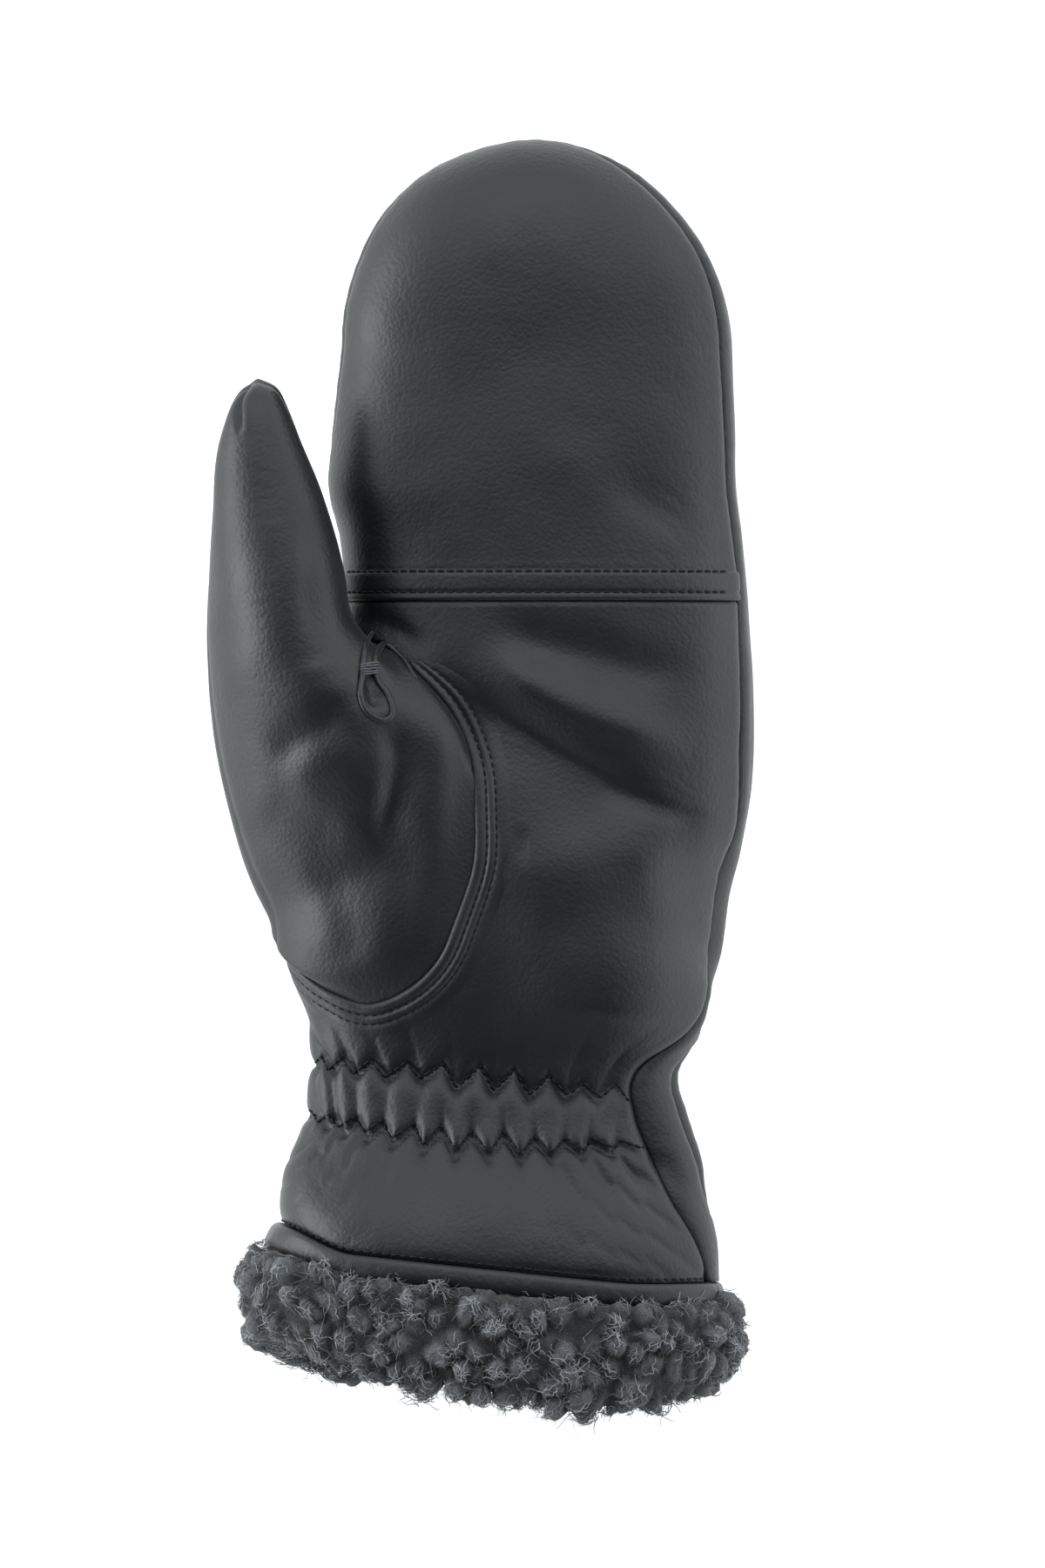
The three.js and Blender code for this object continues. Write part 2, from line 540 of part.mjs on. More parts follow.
// A point round the cuff: out from the leather's face and down past the cuff's edge. Where down is
// negative, the point follows the leather up the inside.
function cuffPoint(turn, out, down) {
  const wrapped = ((turn % 360) + 360) % 360;
  const onThumbSide = wrapped > 90 && wrapped < 270;
  const angle = wrapped <= 90 ? wrapped : wrapped < 270 ? 180 - wrapped : wrapped - 360;
  const station = stationOf(lengthShare(Math.max(-down, 0)), onThumbSide ? -1 : 1);
  const point = smoothHand(station, angle).addScaledVector(handNormal(station, angle), out);
  point.y -= Math.max(down, 0);
  point.z = Math.max(point.z, 0);
  return point;
}

// A ring round the cuff from a closed profile.
function cuffRing(turns, profile) {
  const points = turns.flatMap((turn) => profile(turn).map(({ out, down }) => cuffPoint(turn, out, down)));
  const [n, m] = [turns.length, points.length / turns.length];
  const faces = [];
  for (let i = 0; i < n; i++)
    for (let j = 0; j < m; j++) {
      const [k, l] = [((i + 1) % n) * m, (j + 1) % m];
      faces.push([i * m + j, k + j, k + l], [i * m + j, k + l, i * m + l]);
    }
  return closedGeometry(points, faces);
}

function cuffBinding() {
  const radius = BINDING_DIAMETER / 2;
  const circle = steps(6, 0, 2 * Math.PI).slice(0, -1);
  const profile = () =>
    circle.map((a) => ({
      out: radius * Math.cos(a) - WALL / 2,
      down: radius * Math.sin(a) + radius + SEAM_GAP,
    }));
  return cuffRing(steps(40, 0, 360).slice(0, -1), profile);
}

// The profile of the wool without its locks: up inside the cuff, round below the binding and back.
// outside is 1 where locks of wool stand out.
function woolProfile() {
  const inside = -WALL - SEAM_GAP;
  const belowBinding = BINDING_DIAMETER + 2 * SEAM_GAP;
  const roundBinding = BINDING_DIAMETER / 2 + 2 * SEAM_GAP;
  return [
    { out: inside - FLUTE_RISE - WOOL_LINING, down: -WOOL_INSIDE, outside: 0 },
    { out: inside - FLUTE_RISE, down: -WOOL_INSIDE, outside: 0 },
    { out: inside - SEAM_GAP, down: -WOOL_INSIDE / 2, outside: 0 },
    { out: -WALL / 2 - roundBinding, down: belowBinding / 2, outside: 0 },
    { out: -WALL / 2 - 0.72 * roundBinding, down: belowBinding / 2 + 0.78 * roundBinding, outside: 0 },
    { out: -WALL / 2, down: belowBinding / 2 + 1.04 * roundBinding, outside: 0 },
    { out: WOOL_PROUD * 0.45, down: belowBinding + 0.2, outside: 0.3 },
    { out: WOOL_PROUD * 0.85, down: belowBinding + WOOL_LENGTH * 0.14, outside: 1 },
    { out: WOOL_PROUD, down: belowBinding + WOOL_LENGTH * 0.32, outside: 1 },
    { out: WOOL_PROUD, down: belowBinding + WOOL_LENGTH * 0.5, outside: 1 },
    { out: WOOL_PROUD * 0.85, down: belowBinding + WOOL_LENGTH * 0.68, outside: 1 },
    { out: WOOL_PROUD * 0.3, down: belowBinding + WOOL_LENGTH * 0.8, outside: 1 },
    { out: -WOOL_PROUD * 0.4, down: belowBinding + WOOL_LENGTH * 0.82, outside: 0.8 },
    { out: inside - WOOL_LINING - 1, down: belowBinding + WOOL_LENGTH * 0.65, outside: 0.4 },
    { out: inside - WOOL_LINING - 1, down: belowBinding + WOOL_LENGTH * 0.3, outside: 0.2 },
  ];
}

function sherpaCuff() {
  const base = woolProfile();
  const belowBinding = BINDING_DIAMETER + 2 * SEAM_GAP;
  // Locks stand in staggered rows, four rows down the wool, and hang a little at its end.
  const profile = (turn) =>
    base.map(({ out, down, outside }, row) => {
      const stagger = row % 2 ? 0.5 : 0;
      const lock = Math.cos(2 * Math.PI * ((turn / 360) * WOOL_LOCKS + stagger)) * 0.5 + 0.5;
      const hang = THREE.MathUtils.smoothstep(down, belowBinding + WOOL_LENGTH * 0.5, belowBinding + WOOL_LENGTH * 0.8);
      return {
        out: out + WOOL_LOCK_RISE * outside * (1 - hang) * (lock - 0.5),
        down: down + 2 * WOOL_LOCK_RISE * outside * hang * lock,
      };
    });
  return cuffRing(steps(WOOL_LOCKS * 4, 0, 360).slice(0, -1), profile);
}

// Booleans
const wasm = await Module();
wasm.setup();

function toSolid(geometry) {
  const merged = mergeVertices(new THREE.BufferGeometry().setAttribute("position", geometry.getAttribute("position")).setIndex(geometry.index), 1e-4);
  return new wasm.Manifold(
    new wasm.Mesh({
      numProp: 3,
      vertProperties: new Float32Array(merged.attributes.position.array),
      triVerts: new Uint32Array(merged.index.array),
    }),
  );
}

function toGeometry(solid) {
  const { vertProperties, triVerts } = solid.getMesh();
  const geometry = new THREE.BufferGeometry();
  geometry.setAttribute("position", new THREE.BufferAttribute(vertProperties, 3));
  geometry.setIndex(new THREE.BufferAttribute(triVerts, 1));
  return geometry;
}

function piece(name, geometry, material) {
  geometry.computeVertexNormals();
  const mesh = new THREE.Mesh(geometry, material);
  mesh.name = name;
  return mesh;
}

// The thumb's two leathers, sewn together along its sides.
function thumbSides() {
  const across = new THREE.Vector3(0, -THUMB_SIDE_SLOPE, 1).normalize();
  const shell = toSolid(thumbShell());
  return [
    ["thumb_palm_side", 1],
    ["thumb_back_side", -1],
  ].map(([name, side]) => {
    const towards = across.clone().multiplyScalar(side);
    const half = shell.trimByPlane(towards.toArray(), towards.dot(THUMB_MIDDLE) + SEAM_GAP / 2);
    return piece(name, toGeometry(half), PALM_LEATHER);
  });
}

const heelWithThumbHole = toGeometry(toSolid(heelPanel()).subtract(toSolid(thumbHolePlug())));
const heel = piece("palm_heel_panel", heelWithThumbHole, PALM_LEATHER);
const [thumbPalmSide, thumbBackSide] = thumbSides();

const mitten = new THREE.Group();
mitten.add(
  piece("palm_finger_panel", fingerPanel(), PALM_LEATHER),
  heel,
  piece("back_panel", backPanel(), BACK_LEATHER),
  piece("side_gusset", sideGusset(), BACK_LEATHER),
  thumbPalmSide,
  thumbBackSide,
  piece("thumb_keyhole_welt", keyholeWelt([heel, thumbPalmSide]), BINDING_LEATHER),
  piece("cuff_binding", cuffBinding(), BINDING_LEATHER),
  piece("sherpa_cuff", sherpaCuff(), CURLY_WOOL),
);

export default mitten;
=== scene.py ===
"""A left-hand leather mitten on its back, palm up: soft black leather with a gathered wrist, a set-in
thumb and a cuff of curly wool. Lengths are in millimetres until a mesh is made."""

import math

import bpy
import numpy as np
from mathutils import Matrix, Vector
from mathutils.bvhtree import BVHTree


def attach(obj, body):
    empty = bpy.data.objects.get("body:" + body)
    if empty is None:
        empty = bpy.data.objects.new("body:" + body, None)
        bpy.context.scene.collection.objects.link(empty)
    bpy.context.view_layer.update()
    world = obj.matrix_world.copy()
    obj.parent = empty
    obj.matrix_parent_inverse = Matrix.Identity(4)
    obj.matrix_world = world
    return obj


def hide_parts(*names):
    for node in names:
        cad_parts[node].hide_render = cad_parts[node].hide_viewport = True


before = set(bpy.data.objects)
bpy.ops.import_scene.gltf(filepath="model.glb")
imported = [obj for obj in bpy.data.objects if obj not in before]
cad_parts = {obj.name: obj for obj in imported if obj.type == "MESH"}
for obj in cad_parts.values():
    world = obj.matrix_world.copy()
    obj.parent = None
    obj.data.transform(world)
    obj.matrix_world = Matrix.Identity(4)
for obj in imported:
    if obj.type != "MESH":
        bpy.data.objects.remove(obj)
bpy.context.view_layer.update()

MM = 0.001
rng = np.random.default_rng(7)

# Sizes of the hand, as in the solid model

LEATHER_LENGTH = 236.0
HAND_WIDTH = 92.0
HAND_THICKNESS = 45.0
CUFF_TO_ORIGIN = 101.0
WALL = 1.6
SEAM_GAP = 0.3
PALM_ROUNDNESS = 2.35
BACK_ROUNDNESS = 2.9
THUMB_LENGTH = 61.0
THUMB_WIDTH = 32.0
THUMB_THICKNESS = 36.0
THUMB_MIDDLE = np.array([-51.5, 25.0, 34.0])
THUMB_CLEARANCE = 1.9
THUMB_SIDE_SLOPE = 0.1
BINDING_DIAMETER = 4.4
GRID = 0.8  # spacing of the leather's mesh
OVER_FLOOR = 0.02  # the least height of what rests on the floor

# Sections of the hand from the cuff edge to the fingertip's root. along is a share of LEATHER_LENGTH,
# left and right are shares of HAND_WIDTH, slant is in degrees, the heights are shares of HAND_THICKNESS.
SECTIONS = [
    dict(along=0.0, left=-0.57, right=0.439, slant=-6, level=0.6, top=1.18, under=0.035),
    dict(along=0.035, left=-0.568, right=0.433, slant=-6, level=0.59, top=1.15, under=0.035),
    dict(along=0.073, left=-0.556, right=0.411, slant=-5.5, level=0.57, top=1.09, under=0.05),
    dict(along=0.112, left=-0.528, right=0.395, slant=-5, level=0.55, top=1.01, under=0.075),
    dict(along=0.147, left=-0.514, right=0.364, slant=-4.5, level=0.53, top=0.95, under=0.1),
    dict(along=0.182, left=-0.498, right=0.342, slant=-4, level=0.51, top=0.93, under=0.1),
    dict(along=0.213, left=-0.502, right=0.387, slant=-3, level=0.5, top=0.94, under=0.06),
    dict(along=0.244, left=-0.53, right=0.409, slant=-2, level=0.49, top=0.97, under=0.02),
    dict(along=0.282, left=-0.544, right=0.443, slant=-1, level=0.48, top=1.0, under=-0.01),
    dict(along=0.329, left=-0.538, right=0.462, slant=0, level=0.47, top=1.02, under=-0.03),
    dict(along=0.367, left=-0.524, right=0.486, slant=0, level=0.47, top=1.03, under=-0.035),
    dict(along=0.429, left=-0.496, right=0.512, slant=0, level=0.47, top=1.03, under=-0.035),
    dict(along=0.507, left=-0.452, right=0.514, slant=0, level=0.47, top=1.02, under=-0.035),
    dict(along=0.584, left=-0.417, right=0.506, slant=0, level=0.47, top=1.0, under=-0.035),
    dict(along=0.646, left=-0.424, right=0.492, slant=0, level=0.47, top=0.99, under=-0.03),
    dict(along=0.692, left=-0.45, right=0.477, slant=0, level=0.47, top=0.98, under=-0.03),
    dict(along=0.739, left=-0.441, right=0.473, slant=0, level=0.47, top=0.96, under=-0.03),
    dict(along=0.816, left=-0.419, right=0.465, slant=0, level=0.47, top=0.92, under=-0.025),
]
TIP_FROM = 0.816
TIP_ROUNDNESS = dict(left=2.12, right=1.88)

# The side gusset's two seams, in degrees on the section, by station round the outline
GUSSET_SEAMS = [
    dict(station=0.0, palm=-24, back=-46),
    dict(station=0.5, palm=-30, back=-50),
    dict(station=0.78, palm=-12, back=-40),
    dict(station=0.93, palm=4, back=-34),
    dict(station=1.12, palm=5, back=-34),
    dict(station=1.5, palm=0, back=-38),
    dict(station=1.75, palm=14, back=-32),
    dict(station=2.0, palm=19, back=-28),
    dict(station=2.2, palm=17, back=-28),
    dict(station=2.45, palm=19, back=-28),
    dict(station=2.63, palm=8, back=-24),
    dict(station=2.71, palm=14, back=-12),
    dict(station=2.79, palm=42, back=14),
    dict(station=2.88, palm=36, back=10),
    dict(station=3.0, palm=16, back=-16),
]
FINGER_SEAM_ALONG = 0.59

# The thumb's seam on the palm: degrees round the thumb, share of LEATHER_LENGTH, degrees on the section
THUMB_SEAM = [
    dict(turn=0, along=0.5545, around=141),
    dict(turn=20, along=0.53, around=124),
    dict(turn=40, along=0.495, around=111),
    dict(turn=65, along=0.452, around=103),
    dict(turn=90, along=0.402, around=99.5),
    dict(turn=112, along=0.352, around=97.6),
    dict(turn=132, along=0.305, around=100),
    dict(turn=150, along=0.267, around=104),
    dict(turn=166, along=0.24, around=113),
    dict(turn=180, along=0.225, around=127.7),
    dict(turn=196, along=0.235, around=143),
    dict(turn=212, along=0.258, around=162),
    dict(turn=230, along=0.29, around=182),
    dict(turn=250, along=0.34, around=196),
    dict(turn=275, along=0.406, around=201),
    dict(turn=300, along=0.468, around=196),
    dict(turn=325, along=0.518, around=180),
    dict(turn=345, along=0.547, around=160),
]

# Rings of the thumb by their crotch, palm, outer and back points, as shares of the thumb's sizes
THUMB_RINGS = [
    dict(
        crotch=(0.54, 0.09, 0.097),
        palm=(0.837, -0.454, 0.43),
        outer=(-0.131, -0.8, -0.167),
        back=(0.156, -0.31, -0.61),
    ),
    dict(
        crotch=(0.509, 0.131, 0.125),
        palm=(0.437, -0.29, 0.514),
        outer=(-0.372, -0.41, -0.097),
        back=(0.047, -0.148, -0.556),
    ),
    dict(
        crotch=(0.462, 0.17, 0.125),
        palm=(0.069, -0.005, 0.528),
        outer=(-0.481, 0.039, -0.028),
        back=(-0.016, 0.066, -0.417),
    ),
    dict(
        crotch=(0.416, 0.325, 0.13),
        palm=(-0.006, 0.339, 0.5),
        outer=(-0.469, 0.339, 0.07),
        back=(-0.016, 0.339, -0.25),
    ),
    dict(
        crotch=(0.312, 0.534, 0.139),
        palm=(-0.062, 0.549, 0.444),
        outer=(-0.447, 0.534, 0.111),
        back=(-0.062, 0.549, -0.18),
    ),
    dict(
        crotch=(0.159, 0.743, 0.139),
        palm=(-0.125, 0.743, 0.375),
        outer=(-0.419, 0.743, 0.125),
        back=(-0.125, 0.743, -0.097),
    ),
    dict(
        crotch=(0.05, 0.879, 0.133),
        palm=(-0.137, 0.879, 0.306),
        outer=(-0.331, 0.879, 0.128),
        back=(-0.137, 0.879, -0.028),
    ),
    dict(
        crotch=(-0.028, 0.952, 0.125),
        palm=(-0.144, 0.948, 0.217),
        outer=(-0.253, 0.952, 0.122),
        back=(-0.144, 0.948, 0.028),
    ),
]
THUMB_TIP = (-0.15, 0.977, 0.119)


# Curves and noise


def smooth(value, low, high):
    """Runs smoothly from 0 at low to 1 at high."""
    t = np.clip((value - low) / (high - low), 0, 1)
    return t * t * (3 - 2 * t)


def table(rows, key, place, value):
    """The value of a column at a place along another, on a smooth curve through the rows."""
    keys = np.array([row[key] for row in rows], float)
    values = np.array([row[value] for row in rows], float)
    slopes = np.gradient(values, keys)
    slopes[1:-1] = (values[2:] - values[:-2]) / (keys[2:] - keys[:-2])
    place = np.asarray(place, float)
    i = np.clip(np.searchsorted(keys, place) - 1, 0, len(keys) - 2)
    span = keys[i + 1] - keys[i]
    t = np.clip((place - keys[i]) / span, 0, 1)
    t2, t3 = t * t, t * t * t
    return (
        (2 * t3 - 3 * t2 + 1) * values[i]
        + (t3 - 2 * t2 + t) * slopes[i] * span
        + (3 * t2 - 2 * t3) * values[i + 1]
        + (t3 - t2) * slopes[i + 1] * span
    )


def reach_along(line):
    """How far along a line each of its points is."""
    return np.concatenate([[0], np.cumsum(np.linalg.norm(np.diff(line, axis=0), axis=1))])


def points_at(places, reach, line):
    """The points of a line at some distances along it."""
    return np.stack([np.interp(places, reach, line[:, k]) for k in range(line.shape[1])], axis=1)


def evened(values, rounds):
    """Evens out a row of values or points, in place, and leaves its two ends."""
    for _ in range(rounds):
        values[1:-1] = 0.25 * values[:-2] + 0.5 * values[1:-1] + 0.25 * values[2:]


def curve(points, count):
    """Evenly spaced points on the smooth curve through some points."""
    p = np.asarray(points, float)
    p = np.vstack([2 * p[0] - p[1], p, 2 * p[-1] - p[-2]])
    t = np.linspace(0, 1, 24, endpoint=False)[:, None]
    out = []
    for a, b, c, d in zip(p, p[1:], p[2:], p[3:]):
        square, cube = 2 * a - 5 * b + 4 * c - d, 3 * b - a - 3 * c + d
        out.append(0.5 * (2 * b + (c - a) * t + square * t**2 + cube * t**3))
    line = np.vstack(out + [p[-2:-1]])
    reach = reach_along(line)
    return points_at(np.linspace(0, reach[-1], count), reach, line)


def unit(v):
    """Vectors brought to length 1."""
    return v / np.maximum(np.linalg.norm(v, axis=-1, keepdims=True), 1e-9)


class Drift:
    """Smooth random unevenness of a given grain over the plane, which repeats after 64 grains."""

    def __init__(self, size, seed):
        self.size = size
        self.lattice = np.random.default_rng(seed).uniform(-1, 1, (64, 64))

    def corner(self, i, j):
        return self.lattice[i % 64, j % 64]

    def __call__(self, x, y):
        u, v = x / self.size + 100, y / self.size + 100
        i, j = np.floor(u).astype(int), np.floor(v).astype(int)
        s, t = smooth(u - i, 0, 1), smooth(v - j, 0, 1)
        near = self.corner(i, j) * (1 - s) + self.corner(i + 1, j) * s
        far = self.corner(i, j + 1) * (1 - s) + self.corner(i + 1, j + 1) * s
        return near * (1 - t) + far * t


def beside(x, y, path, count=40, straight=False):
    """How far a point is to the left of a path seen from above, and where along it, from 0 to 1."""
    line = np.asarray(path, float) if straight else curve(path, count)
    count = len(line)
    best = np.full(x.shape, 1e9)
    side = np.zeros(x.shape)
    place = np.zeros(x.shape)
    for k, (a, b) in enumerate(zip(line, line[1:])):
        run = b - a
        px, py = x - a[0], y - a[1]
        t = np.clip((px * run[0] + py * run[1]) / (run @ run), 0, 1)
        away = np.hypot(px - t * run[0], py - t * run[1])
        near = away < best
        best = np.where(near, away, best)
        side = np.where(near, np.sign(run[0] * py - run[1] * px), side)
        place = np.where(near, (k + t) / (count - 1), place)
    return best * np.where(side == 0, 1, side), place


def fold(x, y, path, rise, left, right, fade=0.3):
    """A fold along a path: its rise, its spread to either side, and the share of each end that fades."""
    away, place = beside(x, y, path)
    spread = np.where(away > 0, left, right)
    ends = smooth(place, 0, fade) * (1 - smooth(place, 1 - fade, 1))
    return rise * ends * np.exp(-((away / spread) ** 2))


# The hand's surface


def outline(station):
    """The section at a station: its middle and edge seen from above, and the heights of edge and faces.
    Stations run from the cuff's thumb side at 0, over the tip between 1 and 2, to the other side at 3."""
    share = np.where(station <= 1, station, np.where(station >= 2, 3 - station, 1.0))
    along = share * TIP_FROM

    def at(value):
        return table(SECTIONS, "along", along, value)

    left, right = at("left") * HAND_WIDTH, at("right") * HAND_WIDTH
    middle = np.stack([(left + right) / 2, along * LEATHER_LENGTH - CUFF_TO_ORIGIN], -1)
    half = (right - left) / 2
    turn = np.pi * (2 - station)
    power = 2 / np.where(station < 1.5, TIP_ROUNDNESS["left"], TIP_ROUNDNESS["right"])
    cos, sin = np.cos(turn), np.sin(turn)
    tip_x = half * np.sign(cos) * np.abs(cos) ** power
    tip_y = (1 - TIP_FROM) * LEATHER_LENGTH * np.abs(sin) ** power
    side = np.where(station <= 1.5, -1.0, 1.0)
    slanted = side * half * np.tan(np.radians(at("slant")))
    on_tip = (station > 1) & (station < 2)
    edge = middle + np.stack([np.where(on_tip, tip_x, side * half), np.where(on_tip, tip_y, slanted)], -1)
    heights = [at(value) * HAND_THICKNESS for value in ("level", "top", "under")]
    return middle, edge, *heights


def smooth_hand(station, angle):
    """A point of the smooth hand. Its angle is 0 at the silhouette, 90 on the palm's middle line and -90
    on the back's."""
    middle, edge, level, top, under = outline(station)
    power = 2 / np.where(angle > 0, PALM_ROUNDNESS, BACK_ROUNDNESS)
    out = np.maximum(np.cos(np.radians(angle)), 0) ** power
    rise = np.abs(np.sin(np.radians(angle))) ** power
    z = np.where(angle > 0, level + (top - level) * rise, level - (level - under) * rise)
    xy = middle + (edge - middle) * out[..., None]
    return np.concatenate([xy, z[..., None]], -1)


def outline_left(y):
    """How far out the outline is on the thumb's side, at a place up the hand."""
    edge = outline(np.linspace(0, 1, 200))[1]
    return np.interp(y, edge[:, 1], edge[:, 0])


def outline_right(y):
    """How far out the outline is on the side away from the thumb."""
    edge = outline(np.linspace(3, 2, 200))[1]
    return np.interp(y, edge[:, 1], edge[:, 0])


def height_at(x, y, palm):
    """The smooth hand's height at a place seen from above, over the sides' sections or over the tip."""
    root = TIP_FROM * LEATHER_LENGTH - CUFF_TO_ORIGIN
    along = np.clip((y + CUFF_TO_ORIGIN) / LEATHER_LENGTH, 0, TIP_FROM)
    left, right = (table(SECTIONS, "along", along, key) * HAND_WIDTH for key in ("left", "right"))
    across = np.abs(x - (left + right) / 2) / ((right - left) / 2)
    past = np.maximum(y - root, 0) / ((1 - TIP_FROM) * LEATHER_LENGTH)
    power = np.where(x < (left + right) / 2, TIP_ROUNDNESS["left"], TIP_ROUNDNESS["right"])
    share = (across**power + past**power) ** (1 / power)
    power = PALM_ROUNDNESS if palm else BACK_ROUNDNESS
    level = table(SECTIONS, "along", along, "level") * HAND_THICKNESS
    face = table(SECTIONS, "along", along, "top" if palm else "under") * HAND_THICKNESS
    return level + (face - level) * np.maximum(1 - share**power, 0) ** (1 / power)


def eased_tip(point, palm):
    """How much to raise or lower points so that the tip runs smoothly into the sides' sections."""
    x, y = point[..., 0], point[..., 1]
    root = TIP_FROM * LEATHER_LENGTH - CUFF_TO_ORIGIN
    inside = np.minimum(x - outline_left(y), outline_right(y) - x)
    share = smooth(y, root - 24, root - 8) * (1 - smooth(y, root + 6, root + 26)) * smooth(inside, 6, 18)
    offsets = np.linspace(-14, 14, 15)
    weights = np.exp(-((offsets / 6.5) ** 2))
    even = sum(w * height_at(x, y + o, palm) for o, w in zip(offsets, weights)) / weights.sum()
    return share * (even - height_at(x, y, palm))


def side_normal(station, angle):
    """The way out of the smooth hand, from the points round one of its own."""
    s = np.clip(station, 0.006, 2.994)
    along = smooth_hand(s + 0.006, angle) - smooth_hand(s - 0.006, angle)
    over = smooth_hand(s, angle + 1.5) - smooth_hand(s, angle - 1.5)
    return unit(np.cross(over, along))


def hand_normal(station, angle):
    """The way out of the smooth hand; at the middle line both sides have the same."""
    station, angle = np.broadcast_arrays(np.asarray(station, float), np.asarray(angle, float))
    own = side_normal(station, np.clip(angle, -87, 87))
    level = np.minimum(np.minimum(station, 3 - station), 1.0)
    steep = 87.0 * np.where(angle > 0, 1, -1)
    middle = unit(side_normal(level, steep) + side_normal(3 - level, steep))
    share = smooth(np.abs(angle), 68, 90)[..., None]
    return unit(own * (1 - share) + middle * share)


def seam_angle(station, which):
    """The angle of the gusset's seam with the palm or the back."""
    return table(GUSSET_SEAMS, "station", station, which)


def even_angles(station, low, high, shares):
    """Angles on each section from low to high, at shares of the way over the leather."""
    fine = np.linspace(0, 1, 90)
    angle = low[:, None] + (high - low)[:, None] * fine
    points = smooth_hand(np.broadcast_to(station[:, None], angle.shape), angle)
    steps = np.linalg.norm(np.diff(points, axis=1), axis=2)
    reach = np.concatenate([np.zeros((len(station), 1)), np.cumsum(steps, axis=1)], axis=1)
    out = np.array([np.interp(shares * r[-1], r, a) for r, a in zip(reach, angle)])
    return out, reach[:, -1]


def station_of(along, side):
    """The station of a share of the leather's length, on the thumb's side (-1) or the other (1)."""
    return along / TIP_FROM if side < 0 else 3 - along / TIP_FROM


def spaced(start, end, spacing):
    """Values from start to end, as near to a spacing as divides them evenly."""
    return np.linspace(start, end, max(2, int(round(abs(end - start) / spacing)) + 1))


def tip_stations():
    """Stations over the tip, evenly spaced along its edge."""
    fine = np.linspace(1, 2, 800)
    reach = reach_along(outline(fine)[1])
    return np.interp(spaced(0, reach[-1], GRID), reach, fine)


def hand_points(station, angle, rise):
    """Outer and inner points of the wall, resting flat on the floor."""
    normal = hand_normal(station, angle)
    base = smooth_hand(station, angle)
    outer = base + normal * rise(base)[..., None]
    outer[..., 2] += np.where(angle > 0, eased_tip(base, True), eased_tip(base, False))
    inner = outer - normal * WALL
    outer[..., 2] = np.maximum(outer[..., 2], OVER_FLOOR)
    inner[..., 2] = np.maximum(inner[..., 2], WALL)
    return outer, inner


# Meshes

THUMB_SIDE_BOW = 4.6  # how far the cuff's corner is pushed up there, as it lies
OTHER_SIDE_BOW = 1.8


def settled(points):
    """Bends the cuff's edge a little, as it lies, up at both corners and most at the thumb's."""
    thumb_side, other_side = smooth(-points[:, 0], 36, 54), smooth(points[:, 0], 18, 44)
    bow = THUMB_SIDE_BOW * thumb_side + OTHER_SIDE_BOW * other_side
    points[:, 1] += bow * smooth(-points[:, 1], 72, 96)
    return points


def mesh_piece(name, points, faces, material, slot, replaces=(), laid=False):
    """A piece of the mitten. What is laid on another piece is already settled with it."""
    mesh = bpy.data.meshes.new(name)
    points = np.asarray(points, float)
    if not laid:
        points = settled(points)
    mesh.from_pydata((points * MM).tolist(), [], faces.tolist() if isinstance(faces, np.ndarray) else faces)
    mesh.validate()
    mesh.update()
    mesh.shade_smooth()
    piece = bpy.data.objects.new(name, mesh)
    bpy.context.scene.collection.objects.link(piece)
    mesh.materials.append(material)
    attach(piece, "root")
    if replaces:
        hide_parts(*replaces)
    return piece


def closed_sheet(patches):
    """Points and faces of one closed wall, from patches of outer and inner points that meet at edges."""
    outer = np.concatenate([o.reshape(-1, 3) for o, _ in patches])
    inner = np.concatenate([i.reshape(-1, 3) for _, i in patches])
    _, first, ids = np.unique(np.round(outer, 3), axis=0, return_index=True, return_inverse=True)
    ids = ids.ravel()
    quads, start = [], 0
    for o, _ in patches:
        rows, cols = o.shape[:2]
        grid = ids[start : start + rows * cols].reshape(rows, cols)
        start += rows * cols
        quad = np.stack([grid[:-1, :-1], grid[1:, :-1], grid[1:, 1:], grid[:-1, 1:]], -1)
        quads.append(quad.reshape(-1, 4))
    quads = np.concatenate(quads)
    points = np.concatenate([outer[first], inner[first]])
    n = len(first)
    starts, ends = quads.ravel(), np.roll(quads, -1, axis=1).ravel()
    real = starts != ends
    starts, ends = starts[real], ends[real]
    keys = np.minimum(starts, ends) * n + np.maximum(starts, ends)
    _, where, count = np.unique(keys, return_index=True, return_counts=True)
    rim = where[count == 1]
    a, b = starts[rim], ends[rim]
    walls = np.concatenate([quads, quads[:, ::-1] + n, np.stack([b, a, a + n, b + n], -1)])
    walls = outward(points, walls)
    pinched = (walls == np.roll(walls, -1, axis=1)).any(1)
    faces = walls[~pinched].tolist()
    for face in walls[pinched].tolist():
        corners = list(dict.fromkeys(face))
        if len(corners) > 2:
            faces.append(corners)
    return points, faces


def outward(points, faces):
    """The faces of a closed mesh, an array or a list of lists, turned over if they point inwards."""
    groups = [faces] if isinstance(faces, np.ndarray) else []
    if not groups:
        sizes = {len(face) for face in faces}
        groups = [np.array([face for face in faces if len(face) == size]) for size in sizes]
    volume = 0.0
    for group in groups:
        a = points[group[:, 0]]
        for k in range(1, group.shape[1] - 1):
            volume += np.einsum("ij,ij->", a, np.cross(points[group[:, k]], points[group[:, k + 1]]))
    if volume > 0:
        return faces
    return faces[:, ::-1] if isinstance(faces, np.ndarray) else [face[::-1] for face in faces]


def surface_tree(piece):
    """What finds the nearest place of a piece's surface, in mm."""
    vertices = [v.co / MM for v in piece.data.vertices]
    return BVHTree.FromPolygons(vertices, [p.vertices[:] for p in piece.data.polygons])


